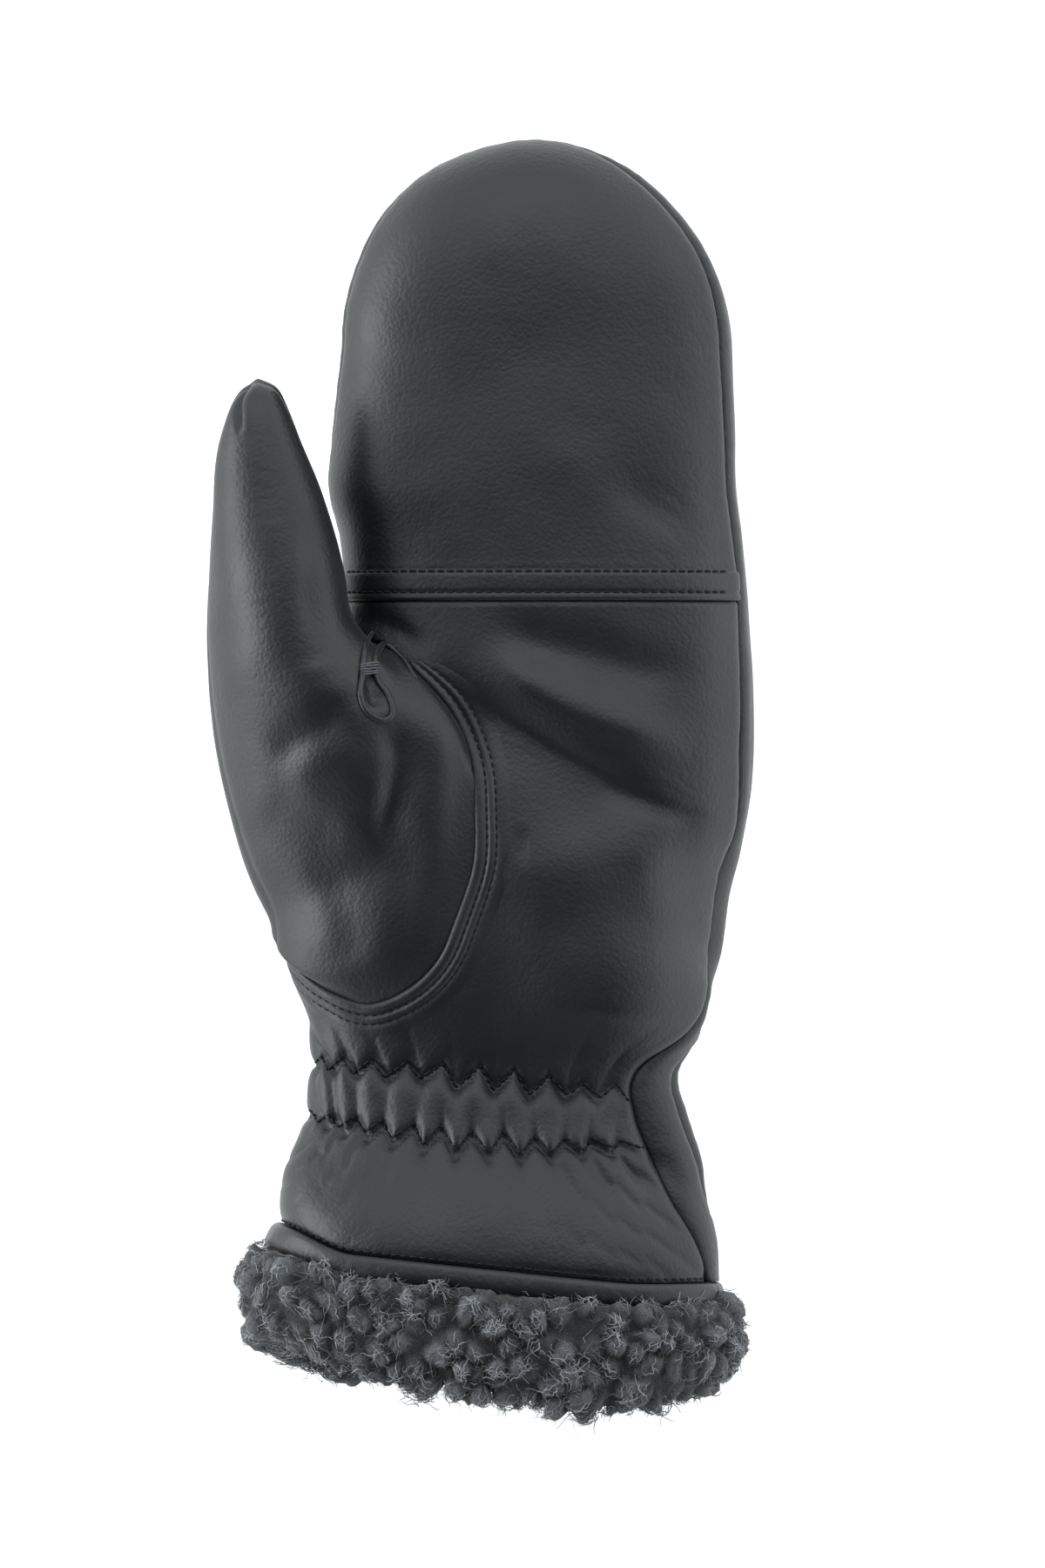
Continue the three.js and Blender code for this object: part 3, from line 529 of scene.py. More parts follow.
# Folds of the palm, seen from above: path, rise, and spread on the left and right of the path
PALM_FOLDS = [
    dict(
        path=[(-21, 27), (-12, 17.4), (0, 10), (12, 2.9), (22, -1.5), (33, -6.4)],
        rise=-2.6,
        left=3.8,
        right=11,
    ),
    dict(
        path=[(-12, 29.5), (-2.7, 22.8), (6.4, 17.4), (15.5, 13.7), (25, 10), (36, 6.5)],
        rise=2.1,
        left=5,
        right=4,
    ),
    dict(path=[(-10, 35), (2.7, 29.6), (13.7, 27), (25, 24.1), (38, 22.5)], rise=-1.5, left=5, right=5),
    dict(path=[(12, 1.5), (22, -3), (31, -6), (40, -7.5)], rise=-0.7, left=2, right=2.8),
    dict(path=[(-10, -23), (-1, -20.5), (10, -18), (22, -16), (36, -14)], rise=1.8, left=9, right=15),
    dict(path=[(-8, -42), (8, -44), (22, -46), (34, -46), (46, -44)], rise=4.2, left=16, right=7, fade=0.5),
    dict(path=[(47, -8), (46, -28), (40, -46)], rise=-2.4, left=8, right=17),
    dict(path=[(-0.5, -7.5), (-0.8, -18)], rise=-0.45, left=0.8, right=1.3, fade=0.45),
    dict(
        path=[(-44, -58), (-24, -59.5), (-8, -61), (6, -62.5), (18, -63), (30, -63)],
        rise=-2.0,
        left=9,
        right=3.6,
    ),
    dict(path=[(-56, -70), (-20, -73), (10, -75), (42, -73)], rise=-3.0, left=12.5, right=20, fade=0.15),
    dict(path=[(-24, -101), (0, -102), (24, -102)], rise=-1.3, left=13, right=5, fade=0.45),
    dict(path=[(2.5, -75.5), (7, -81), (12, -88)], rise=-0.45, left=1.4, right=1.8, fade=0.5),
    dict(path=[(9.5, -75.5), (15, -81), (22, -88)], rise=-0.5, left=1.4, right=2, fade=0.5),
    dict(path=[(16, -74.5), (23, -80), (31, -88)], rise=-0.6, left=1.5, right=2.2, fade=0.5),
    dict(path=[(23, -73), (30, -79), (37, -89)], rise=-0.7, left=1.6, right=2.2, fade=0.5),
    dict(path=[(-27, -73.5), (-30, -80), (-35, -88)], rise=-0.4, left=2, right=1.6, fade=0.5),
    dict(path=[(-3, 64), (5, 67.5), (14, 65), (21, 58)], rise=0.3, left=6, right=10, fade=0.45),
    dict(path=[(14, 66), (27, 58), (40, 50.5)], rise=-0.9, left=6, right=4.5, fade=0.45),
    dict(path=[(-40, 35.5), (-32, 34.2), (-25, 31), (-18, 26)], rise=-0.9, left=2.2, right=2.4, fade=0.45),
]

# Folds of the thumb, seen from above
THUMB_FOLDS = [
    dict(path=[(-33, 25), (-31.8, 19.5), (-30.8, 15)], rise=-1.9, left=2.2, right=2.2),
    dict(
        path=[(-31, 15), (-27.8, 10), (-26.4, 5), (-27.4, -1), (-29.5, -8), (-32, -16)],
        rise=-1.8,
        left=4.8,
        right=3.6,
    ),
    dict(
        path=[(-27, 20), (-21, 14), (-18, 7), (-17, 0), (-18.5, -10), (-22, -22)],
        rise=1.1,
        left=3.6,
        right=6,
    ),
    dict(path=[(-36, 16), (-42, 12.5), (-48.5, 9), (-54.5, 3)], rise=-0.95, left=3.6, right=4.6),
    dict(path=[(-32.5, 6), (-38, 5), (-44, 3.5), (-52, -1)], rise=0.6, left=6, right=5),
    dict(path=[(-58, -5), (-48, -9), (-37, -11)], rise=-0.6, left=5, right=5),
    dict(path=[(-30.6, 3), (-31, -5), (-33, -16)], rise=0.4, left=2, right=3),
    dict(path=[(-44, 27), (-42, 21), (-40, 16)], rise=0.5, left=5, right=5),
    dict(path=[(-50, -12), (-46, -22), (-38.5, -37)], rise=0.3, left=3.4, right=4.4),
    dict(path=[(-41, -16), (-38, -28), (-35.5, -42)], rise=-0.25, left=3, right=3.2),
    dict(path=[(-31, -20), (-30, -30), (-32, -43)], rise=0.2, left=3, right=3.4),
    dict(path=[(-26, -14), (-25, -26), (-27, -38)], rise=-0.2, left=2.6, right=3),
    dict(path=[(-44, 60), (-45, 42), (-43, 27)], rise=-0.8, left=4, right=3),
]

# The elastic's two zigzag rows, seen from above. A tooth has the peak of the upper row, the notch to its
# right, the foot of the lower row under it, and the top between that foot and the next.
ZIGZAG = [
    dict(peak=(-47.5, -56.5), notch=(-45.5, -60), foot=(-48, -69), top=(-45.3, -68.3)),
    dict(peak=(-43.1, -56.9), notch=(-41.7, -60.1), foot=(-43.8, -70.9), top=(-41.7, -69.1)),
    dict(peak=(-38.9, -57.2), notch=(-36.5, -60.7), foot=(-39.5, -71.9), top=(-36.5, -69.4)),
    dict(peak=(-32.9, -57.6), notch=(-29.8, -61.4), foot=(-34, -72.8), top=(-30.5, -70.2)),
    dict(peak=(-25.4, -58), notch=(-22.5, -61.6), foot=(-28.3, -74), top=(-23.9, -70.7)),
    dict(peak=(-17.7, -58.3), notch=(-14.6, -63.4), foot=(-21.7, -75.1), top=(-17.9, -71.3)),
    dict(peak=(-9.8, -58.7), notch=(-6.9, -63.9), foot=(-14.8, -76.5), top=(-11.5, -72.4)),
    dict(peak=(-2.6, -59.6), notch=(0.7, -64.9), foot=(-7.9, -76.9), top=(-4.8, -72.4)),
    dict(peak=(4.8, -60.8), notch=(8.5, -64.9), foot=(-1.3, -77.1), top=(1.8, -73.6)),
    dict(peak=(12.1, -62.4), notch=(15.5, -65.6), foot=(5.2, -76.9), top=(8.2, -74)),
    dict(peak=(18.9, -62.5), notch=(21.2, -66.3), foot=(12.1, -76.5), top=(13.7, -74)),
    dict(peak=(24.5, -64), notch=(26.5, -68), foot=(18.6, -76.1), top=(19.7, -74.4)),
    dict(peak=(29, -66), notch=(31, -69), foot=(24, -76.1), top=(26, -75)),
]
PUFF_RISE = 0.75  # of the gathered leather between the rows
PUFF_LEVEL = 0.7  # the share of that rise that is left half way between the rows
PUFF_DOMES = 2.0  # how much more it swells and sinks along each row than half way

# Valleys that run on from the rows: lean is sideways for each length, reach is how far they run
PLEATS = [
    dict(place=-45, lean_up=-0.42, reach_up=12, lean_down=-0.7, reach_down=11),
    dict(place=-30, lean_up=-0.35, reach_up=7, lean_down=-0.55, reach_down=9),
    dict(place=-14, lean_up=-0.1, reach_up=4, lean_down=-0.1, reach_down=4.5),
    dict(place=2, lean_up=0.1, reach_up=4, lean_down=0.3, reach_down=6),
    dict(place=14, lean_up=0.35, reach_up=6, lean_down=0.75, reach_down=13),
    dict(place=26, lean_up=0.6, reach_up=7, lean_down=1.1, reach_down=19),
]


def column(key, axis):
    """One coordinate of one kind of point, for all the teeth."""
    return np.array([tooth[key][axis] for tooth in ZIGZAG])


def between(x, lines):
    """How far across a point is from one line to the next, from 0 to 1, or -1 outside all the lines."""
    share = np.full(x.shape, -1.0)
    for low, high in zip(lines, lines[1:]):
        s = (x - low) / (high - low)
        share = np.where((s >= 0) & (s < 1), s, share)
    return share


def zigzag_row(upper):
    """The points of the upper or lower row of stitches."""
    keys = ("peak", "notch") if upper else ("foot", "top")
    return np.array([tooth[key] for tooth in ZIGZAG for key in keys])


def gathers(x, y):
    """The elastic's puffs between its rows, and the pleats that run on above and below them."""
    upper_row, lower_row = zigzag_row(True), zigzag_row(False)
    upper = np.interp(x, upper_row[:, 0], upper_row[:, 1])
    lower = np.interp(x, lower_row[:, 0], lower_row[:, 1])
    notch_x, top_x = column("notch", 0), column("top", 0)
    middle_y = np.interp(x, notch_x, column("notch", 1))
    low_y = np.interp(x, top_x, column("top", 1))
    down = np.clip((middle_y - y) / (middle_y - low_y), -0.6, 1.6)
    share = between(x, [nx + (tx - nx) * down for nx, tx in zip(notch_x, top_x)])
    inside = np.where(share >= 0, np.abs(np.sin(np.pi * share)), 0) ** 0.9
    at_rows = PUFF_LEVEL + np.zeros(x.shape)
    for lines, near in ((notch_x, (1 - down).clip(0, 1)), (top_x, down.clip(0, 1))):
        step = between(x, list(lines))
        dome = np.where(step >= 0, np.abs(np.sin(np.pi * step)), PUFF_LEVEL)
        at_rows += PUFF_DOMES * near**1.5 * (dome - PUFF_LEVEL)
    whole = smooth(-x, 16, 34)
    inside = inside * whole + at_rows * (1 - whole)
    ends = smooth(np.minimum(upper - y, y - lower), -0.4, 2.2)
    rise = PUFF_RISE * inside * ends * np.where(share >= 0, 1, 0)
    for row in (upper_row, lower_row):
        away = np.abs(beside(x, y, row, 4 * len(row), straight=True)[0])
        rise = rise - 0.7 * np.exp(-((away / 0.5) ** 2)) - 0.65 * np.exp(-((away / 1.5) ** 2))

    def pleat(key):
        return np.interp(x, [row["place"] for row in PLEATS], [row[key] for row in PLEATS])

    above = y - upper
    share = between(x - pleat("lean_up") * np.maximum(y - middle_y, 0), list(notch_x))
    rise = rise + pleats(share, above, pleat("reach_up"))
    below = lower - y
    share = between(x - pleat("lean_down") * np.maximum(below, 0), list(column("foot", 0)))
    return rise + pleats(share, below, pleat("reach_down"))


def pleats(share, past, reach):
    """Valleys that run on from a row's stitched points. share is 0 at one valley and 1 at the next."""
    valley = (1 - np.abs(np.sin(np.pi * share))) ** 1.8
    fade = np.exp(-np.maximum(past, 0) / reach) * smooth(past, -0.3, 0.8)
    puff = 0.35 * smooth(past, 0, 1.2) * np.exp(-np.maximum(past, 0) / 5)
    return np.where((share >= 0) & (past > -0.3), puff - 0.95 * valley * fade, 0)


# Unevenness of the leather, by the size of its dents in mm
slow_dents = Drift(19, 1)
quick_dents = Drift(7.5, 2)
wrinkle_warp = Drift(6, 3)
wrinkle_fade = Drift(5, 4)

# Patches of fine wrinkles: middle, half sizes along and across them, the way they run and their spacing
PALM_WRINKLES = [
    dict(middle=(30, -2), half=(13, 8), heading=-18, spacing=2.6, rise=0.2),
    dict(middle=(33, 56), half=(8, 16), heading=-38, spacing=3.4, rise=0.12),
    dict(middle=(36, 90), half=(8, 12), heading=-50, spacing=3.6, rise=0.1),
    dict(middle=(-8, 12), half=(12, 5), heading=-30, spacing=2.4, rise=0.14),
    dict(middle=(36, -38), half=(6, 8), heading=20, spacing=2.8, rise=0.14),
    dict(middle=(-29, 33.5), half=(8, 3.5), heading=-60, spacing=1.9, rise=0.14),
]
THUMB_WRINKLES = [
    dict(middle=(-52, 25), half=(12, 22), heading=8, spacing=2.7, rise=0.13),
    dict(middle=(-38, 2), half=(8, 10), heading=35, spacing=2.6, rise=0.13),
    dict(middle=(-34, -30), half=(12, 10), heading=70, spacing=2.5, rise=0.1),
    dict(middle=(-54, 62), half=(8, 12), heading=15, spacing=3, rise=0.09),
]


def wrinkles(x, y, patches):
    """Fine creases side by side within each patch, bent and broken by chance."""
    rise = np.zeros(x.shape)
    for patch in patches:
        heading = math.radians(patch["heading"])
        px, py = x - patch["middle"][0], y - patch["middle"][1]
        u = px * math.cos(heading) + py * math.sin(heading)
        v = -px * math.sin(heading) + py * math.cos(heading)
        window = np.exp(-((u / patch["half"][0]) ** 2 + (v / patch["half"][1]) ** 2) ** 1.5)
        phase = v / patch["spacing"] + 0.9 * wrinkle_warp(x * 0.6, y)
        crest = 1 - np.abs(np.sin(np.pi * phase)) ** 0.7
        rise -= patch["rise"] * window * crest * (0.5 + 0.5 * wrinkle_fade(x, y))
    return rise


def unevenness(x, y, seed=0):
    """The soft dents that any part of the leather has."""
    return 0.35 * slow_dents(x + seed, y) + 0.12 * quick_dents(x + seed, y - seed)


def palm_relief(x, y):
    """How the palm's leather rises over the smooth hand, apart from its seams and gathers."""
    rise = unevenness(x, y) + wrinkles(x, y, PALM_WRINKLES)
    for row in PALM_FOLDS:
        rise = rise + fold(x, y, **row)
    return rise


def back_relief(x, y):
    """How the leather of the back rises over the smooth hand."""
    return 1.4 * unevenness(x, y, 57)


def thumb_relief(x, y):
    """How the thumb's leather rises over its smooth form."""
    rise = unevenness(x, y, 31) + wrinkles(x, y, THUMB_WRINKLES)
    for row in THUMB_FOLDS:
        rise = rise + fold(x, y, **row)
    return rise


SEAM_DEPTH = 1.25  # of the valley at a seam
PUCKER_SPACING = 5.2


def seam_roll(away, along_seam, seed=0):
    """How leather rolls down into a seam: away is the distance to it, along_seam the place along it."""
    drift = 3 * wrinkle_warp(along_seam, away * 0 + seed)
    pucker = 0.045 * np.sin(2 * np.pi * along_seam / PUCKER_SPACING + drift)
    pull = 0.16 * slow_dents(along_seam * 1.3, away * 0 + seed + 9)
    swell = (0.25 + pucker + pull) * np.exp(-(((away - 2.8) / 2.4) ** 2))
    return -SEAM_DEPTH * np.exp(-away / 0.75) + swell


def outline_reach(station):
    """The distance along the outline at a station, for what repeats along the seams."""
    fine = np.linspace(0, 3, 1500)
    return np.interp(station, fine, reach_along(outline(fine)[1]))


# Leather

HEM_EDGE = 0.15  # past the seam line
HEM_RISE = 0.8  # how proud it stands
HEM_ROWS = (1.7, 6.0)  # its rows of stitches, from its edge
HEM_WIDTH = 8.5  # from its edge to where it lies flat with the panel
HEM_GRID = 0.34  # spacing of the mesh over it, fine enough for its grooves
HEM_RIGHT = 41.8  # where its rows end, on the side away from the thumb
CUFF_SLANT = 0.09  # of the cuff's edge, seen from above
BINDING_DEPTH = 1.1  # how far the leather sinks where the binding takes it
PLAIN_GRID = 1.8  # spacing of the back's mesh, which is plain


def hem_profile(away):
    """The turned hem over its own width: proud, with a groove at each row of stitches."""
    share = 1 - 0.85 * smooth(away, 5.7, 6.6) - 0.15 * smooth(away, 6.6, 9)
    proud = HEM_RISE * smooth(away, -0.4, 0.4) * share
    for row in HEM_ROWS:
        groove = 0.28 * np.exp(-(((away - row) / 0.34) ** 2))
        dip = 0.08 * np.exp(-(((away - row) / 1.1) ** 2))
        proud = proud - groove - dip
    return proud


def under_binding(x, y):
    """How the leather sinks into the binding along the cuff's edge."""
    cuff_y = -CUFF_TO_ORIGIN - CUFF_SLANT * x
    return -BINDING_DEPTH * np.exp(-np.maximum(y - cuff_y, 0) / 1.3)


def panel_patch(stations, which, rise, spacing=GRID):
    """A patch of a panel from its gusset seam to the middle line, with a finer edge at the seam."""
    sign = 1 if which == "palm" else -1
    low = seam_angle(stations, which)
    high = np.full(stations.shape, 90.0 * sign)
    length = even_angles(stations, low, high, np.array([0.0, 1.0]))[1]
    count = int(length.max() / spacing)
    shares = np.linspace(0, 1, count + 1) ** 1.12
    angle, reach = even_angles(stations, low, high, shares)
    away = reach[:, None] * shares[None, :] + SEAM_GAP / 2
    station = np.broadcast_to(stations[:, None], angle.shape)
    seam_place = outline_reach(station)

    def full(base):
        return rise(base, station) + seam_roll(away, seam_place)

    return hand_points(station, angle, full)


def side_stations(start, end, side, spacing=GRID):
    """Stations along one side, by shares of the leather's length."""
    along = spaced(start * LEATHER_LENGTH, end * LEATHER_LENGTH, spacing) / LEATHER_LENGTH
    return station_of(along, side)


def finger_panel(material):
    """The palm leather over the fingers, with its turned hem."""
    start = FINGER_SEAM_ALONG + HEM_EDGE / LEATHER_LENGTH
    hem_end = start + HEM_WIDTH / LEATHER_LENGTH
    sides = []
    for side in (-1, 1):
        over_hem = side_stations(start, hem_end, side, HEM_GRID)
        sides.append(np.concatenate([over_hem[:-1], side_stations(hem_end, TIP_FROM, side)]))
    stations = np.concatenate([sides[0][:-1], tip_stations(), sides[1][::-1][1:]])
    seam_y = start * LEATHER_LENGTH - CUFF_TO_ORIGIN

    def rise(base, station):
        x, y = base[..., 0], base[..., 1]
        return hem_profile(y - seam_y) + palm_relief(x, y)

    points, faces = closed_sheet([panel_patch(stations, "palm", rise)])
    return mesh_piece("palm_leather_fingers", points, faces, material, "palm_leather", ["palm_finger_panel"])


def heel_panel(material):
    """The palm leather from the hem to the cuff, with the gathered wrist."""
    end = FINGER_SEAM_ALONG + 2.5 / LEATHER_LENGTH

    def rise(base, station):
        x, y = base[..., 0], base[..., 1]
        seam_y = FINGER_SEAM_ALONG * LEATHER_LENGTH - CUFF_TO_ORIGIN
        under_hem = -0.7 * smooth(y, seam_y - 0.6, seam_y + 0.6)
        over_seam = base[..., 2] - base[:, :1, 2]
        wrist = gathers(x, y) * smooth(over_seam, 0.5, 4.5)
        return palm_relief(x, y) + wrist + under_hem + under_binding(x, y)

    patches = []
    for side in (-1, 1):
        stations = side_stations(0, end, side)
        patches.append(panel_patch(stations if side < 0 else stations[::-1], "palm", rise))
    points, faces = closed_sheet(patches)
    return mesh_piece("palm_leather_heel", points, faces, material, "palm_leather", ["palm_heel_panel"])


def whole_stations(spacing):
    """Stations round the whole outline, from the cuff to the tip and back."""
    thumb_side = side_stations(0, TIP_FROM, -1, spacing)[:-1]
    other_side = side_stations(0, TIP_FROM, 1, spacing)[::-1][1:]
    return np.concatenate([thumb_side, tip_stations(), other_side])


def back_panel(material):
    """The leather over the back of the hand, on a coarser mesh because it is plain."""

    def rise(base, station):
        x, y = base[..., 0], base[..., 1]
        return back_relief(x, y) + under_binding(x, y)

    points, faces = closed_sheet([panel_patch(whole_stations(PLAIN_GRID), "back", rise, 2.0)])
    return mesh_piece("back_leather", points, faces, material, "back_leather", ["back_panel"])


def side_gusset(material):
    """The narrow strip that joins palm and back. It follows their folds beside its seams."""
    stations = whole_stations(1.0)
    low, high = seam_angle(stations, "back"), seam_angle(stations, "palm")
    width = even_angles(stations, low, high, np.array([0.0, 1.0]))[1]
    shares = np.linspace(0, 1, int(width.max() / 0.8))
    angle, reach = even_angles(stations, low, high, shares)
    station = np.broadcast_to(stations[:, None], angle.shape)
    place = outline_reach(station)
    from_back = reach[:, None] * shares + SEAM_GAP / 2
    from_palm = reach[:, None] * (1 - shares) + SEAM_GAP / 2

    def rise(base):
        x, y = base[..., 0], base[..., 1]
        rolls = seam_roll(from_back, place, 3) + seam_roll(from_palm, place, 5)
        own = 0.3 * np.sin(np.pi * shares)[None, :] + unevenness(x + base[..., 2], y, 83)
        with_palm, with_back = np.exp(-((from_palm / 4.5) ** 2)), np.exp(-((from_back / 3.5) ** 2))
        alone = (1 - with_palm - with_back).clip(0)
        return rolls + own * alone + palm_relief(x, y) * with_palm + back_relief(x, y) * with_back

    outer, inner = hand_points(station, angle, rise)
    points, faces = closed_sheet([(outer, inner)])
    return mesh_piece("gusset_leather", points, faces, material, "back_leather", ["side_gusset"])


# The thumb


def thumb_seam(turn, inset=0.0):
    """Points of the thumb's seam on the hand, with the hand's normal and the way out of the loop."""
    rows = [dict(row, turn=row["turn"] - 360) for row in THUMB_SEAM[-2:]]
    rows += THUMB_SEAM + [dict(row, turn=row["turn"] + 360) for row in THUMB_SEAM[:2]]
    turn = np.asarray(turn, float) % 360

    def place(t):
        along, around = table(rows, "turn", t, "along"), table(rows, "turn", t, "around")
        station = np.where(around > 90, along / TIP_FROM, 3 - along / TIP_FROM)
        return station, np.where(around > 90, 180 - around, around)

    point, normal = smooth_hand(*place(turn)), hand_normal(*place(turn))
    ahead = smooth_hand(*place(turn + 1))
    out = unit(np.cross(normal, ahead - point))
    return point - out * inset, normal, out


THUMB_TURNS = 181  # points round the thumb, the last on the first
THUMB_STEPS = 160  # points from its seam to its tip
THUMB_EVENINGS = 14  # rounds that take the unevenness out between its rings


def thumb_point(shares):
    """A point given by shares of the thumb's sizes."""
    return np.asarray(shares) * [THUMB_WIDTH, THUMB_LENGTH, THUMB_THICKNESS] + THUMB_MIDDLE


def ring_at(ring, turn):
    """Points round a ring of the thumb, through its four given ones."""
    crotch, palm, outer, back = [thumb_point(ring[side]) for side in ("crotch", "palm", "outer", "back")]
    a = np.radians(turn)[:, None]
    mean = (crotch + palm + outer + back) / 4
    saddle = (crotch + outer - palm - back) / 4
    return mean + (crotch - outer) / 2 * np.cos(a) + (palm - back) / 2 * np.sin(a) + saddle * np.cos(2 * a)


def bowed(points, count):
    """Evenly spaced points on a smooth curve through some points, however unevenly they are spaced."""
    p = np.vstack([2 * points[0] - points[1], points, 2 * points[-1] - points[-2]])
    gaps = np.maximum(np.linalg.norm(np.diff(p, axis=0), axis=1) ** 0.5, 1e-4)
    t = np.linspace(0, 1, 24, endpoint=False)[:, None]
    out = []
    for k in range(1, len(p) - 2):
        a, b, c, d = p[k - 1 : k + 3]
        d0, d1, d2 = gaps[k - 1 : k + 2]
        t1 = ((b - a) / d0 - (c - a) / (d0 + d1) + (c - b) / d1) * d1
        t2 = ((c - b) / d1 - (d - b) / (d1 + d2) + (d - c) / d2) * d1
        out.append(b + t1 * t + (-3 * b + 3 * c - 2 * t1 - t2) * t**2 + (2 * b - 2 * c + t1 + t2) * t**3)
    line = np.vstack(out + [p[-2:-1]])
    reach = reach_along(line)
    return points_at(np.linspace(0, reach[-1], count), reach, line)


def stands_up(turn):
    """How far the thumb's leather stands up from the palm at its seam, from 0 to 1."""
    return smooth(np.cos(np.radians(turn)), 0.25, 0.75)


def clear_of_hand(points, gap):
    """Moves points that lie in the hand out through its side."""
    along = (points[..., 1] + CUFF_TO_ORIGIN) / LEATHER_LENGTH
    middle, edge, level, top, under = outline(np.minimum(along / TIP_FROM, 1.0))
    across = (points[..., 0] - middle[..., 0]) / np.linalg.norm(middle - edge, axis=-1)
    height = points[..., 2] - level
    up = height / np.where(height > 0, top - level, level - under)
    power = np.where(height > 0, PALM_ROUNDNESS, BACK_ROUNDNESS)
    depth = (np.abs(across) ** power + np.abs(up) ** power) ** (1 / power)
    clear = 1 + gap / (level - under)
    factor = np.where((depth < clear) & (along < 0.8), clear / np.maximum(depth, 0.05), 1)
    out = points.copy()
    out[..., 0] = middle[..., 0] + (points[..., 0] - middle[..., 0]) * factor
    out[..., 2] = level + height * factor
    return out


def thumb(material):
    """The set-in thumb, one closed wall from its seam to the tip."""
    turns = np.linspace(0, 360, THUMB_TURNS)
    seam, normal, out = thumb_seam(turns, SEAM_GAP)
    stand = stands_up(turns)[:, None]
    foot, bend = seam - normal * (0.4 * WALL * stand + 0.5), seam + normal * 0.9 * WALL * stand
    rings = [ring_at(ring, turns) for ring in THUMB_RINGS]
    tip = thumb_point(THUMB_TIP)
    lines = []
    for k in range(len(turns)):
        start = [foot[k], bend[k]] if stand[k] > 0.01 else [seam[k]]
        lines.append(bowed(np.array(start + [ring[k] for ring in rings] + [tip]), THUMB_STEPS))
    grid = np.array(lines)
    share = np.linspace(0, 1, THUMB_STEPS)
    gap = THUMB_CLEARANCE * smooth(share, 0.01, 0.06)
    grid = np.where((share > 0.012)[None, :, None], clear_of_hand(grid, gap[None, :]), grid)
    for _ in range(THUMB_EVENINGS):
        grid[:, 1:-1] = 0.25 * grid[:, :-2] + 0.5 * grid[:, 1:-1] + 0.25 * grid[:, 2:]
        ring = grid[:-1]
        near = 0.25 * np.roll(ring, 1, 0) + 0.5 * ring + 0.25 * np.roll(ring, -1, 0)
        grid[:-1, 2:-1] = near[:, 2:-1]
        grid[-1] = grid[0]
    along = np.gradient(grid, axis=1)
    wrapped = np.concatenate([grid[-2:-1], grid, grid[1:2]])
    around = (wrapped[2:] - wrapped[:-2]) / 2
    own = unit(np.cross(along, around))
    own[:, -1] = (0, 1, 0)
    root = unit(normal * (1 - stand) + out * stand)[:, None, :]
    weight = smooth(share, 0, 0.07)[None, :, None]
    face = unit(root * (1 - weight) + own * weight)
    facing = smooth(face[..., 2], 0, 0.5) * smooth(share, 0.0, 0.1)[None, :]
    rise = facing * thumb_relief(grid[..., 0], grid[..., 1])
    rise += (1 - facing) * smooth(share, 0.05, 0.2)[None, :] * unevenness(grid[..., 1], grid[..., 2], 11)
    rise += thumb_dart(grid) + thumb_side_seam(grid) * smooth(share, 0.02, 0.08)[None, :]
    outer = grid + face * rise[..., None]
    inner = outer - face * WALL
    points, faces = closed_sheet([(outer, inner)])
    nodes = ["thumb_palm_side", "thumb_back_side"]
    return mesh_piece("thumb_leather", points, faces, material, "palm_leather", nodes)


def thumb_side_seam(grid):
    """The groove where the thumb's palm side and back side are sewn together."""
    y, z = np.moveaxis(grid - THUMB_MIDDLE, -1, 0)[1:]
    away = np.abs(z - THUMB_SIDE_SLOPE * y) / math.hypot(1, THUMB_SIDE_SLOPE)
    return -0.4 * np.exp(-away / 0.6) + 0.12 * np.exp(-(((away - 2.6) / 2.2) ** 2))


# The pinched seam at the thumb's tip, from its outer end
DART = [(-57.7, 84.4), (-58.6, 82.5), (-59.9, 80), (-60.1, 76), (-59.9, 72.7)]


def thumb_dart(grid):
    """The pinched seam that closes the thumb's tip."""
    away, place = beside(grid[..., 0], grid[..., 1], DART, 24)
    facing = smooth(grid[..., 2], 36, 42)
    fade = 1 - smooth(place, 0.75, 1)
    away = np.abs(away)
    groove, swell = -0.9 * np.exp(-((away / 0.5) ** 1.5)), 0.25 * np.exp(-(((away - 1.6) / 1.2) ** 2))
    return facing * fade * (groove + swell)


# Threads and strips


def frames_along(line, up):
    """Directions across and up at each point of a line."""
    along = unit(np.gradient(line, axis=0))
    across = unit(np.cross(along, up))
    return across, unit(np.cross(across, along))


def tube(line, radius, sides, up, squash=1.0):
    """Points and faces of a tube along a line, with closed ends. squash is its height by its width."""
    across, lift = frames_along(line, up)
    turn = np.linspace(0, 2 * np.pi, sides, endpoint=False)
    radius = np.broadcast_to(np.asarray(radius, float), (len(line),))[:, None, None]
    sideways = across[:, None, :] * np.cos(turn)[None, :, None]
    ring = sideways + squash * lift[:, None, :] * np.sin(turn)[None, :, None]
    points = (line[:, None, :] + radius * ring).reshape(-1, 3)
    last = (len(line) - 1) * sides
    faces = []
    for i in range(len(line) - 1):
        for j in range(sides):
            a, b = i * sides + j, i * sides + (j + 1) % sides
            faces.append([a, b, b + sides, a + sides])
    faces.append(list(range(sides))[::-1])
    faces.append(list(range(last, last + sides)))
    return points, outward(points, faces)


def joined(parts):
    """One list of points and faces from several."""
    points, faces, start = [], [], 0
    for p, f in parts:
        points.append(p)
        faces += [[v + start for v in face] for face in f]
        start += len(p)
    return np.concatenate(points), faces


# One stitch, by five places of its length: where they are, how high, and how thick
STITCH_PLACES = np.array([0.0, 0.16, 0.5, 0.84, 1.0])
STITCH_ARCH = np.array([-0.16, 0.06, 0.12, 0.06, -0.16])
STITCH_GIRTH = np.array([0.6, 0.95, 1, 0.95, 0.6])


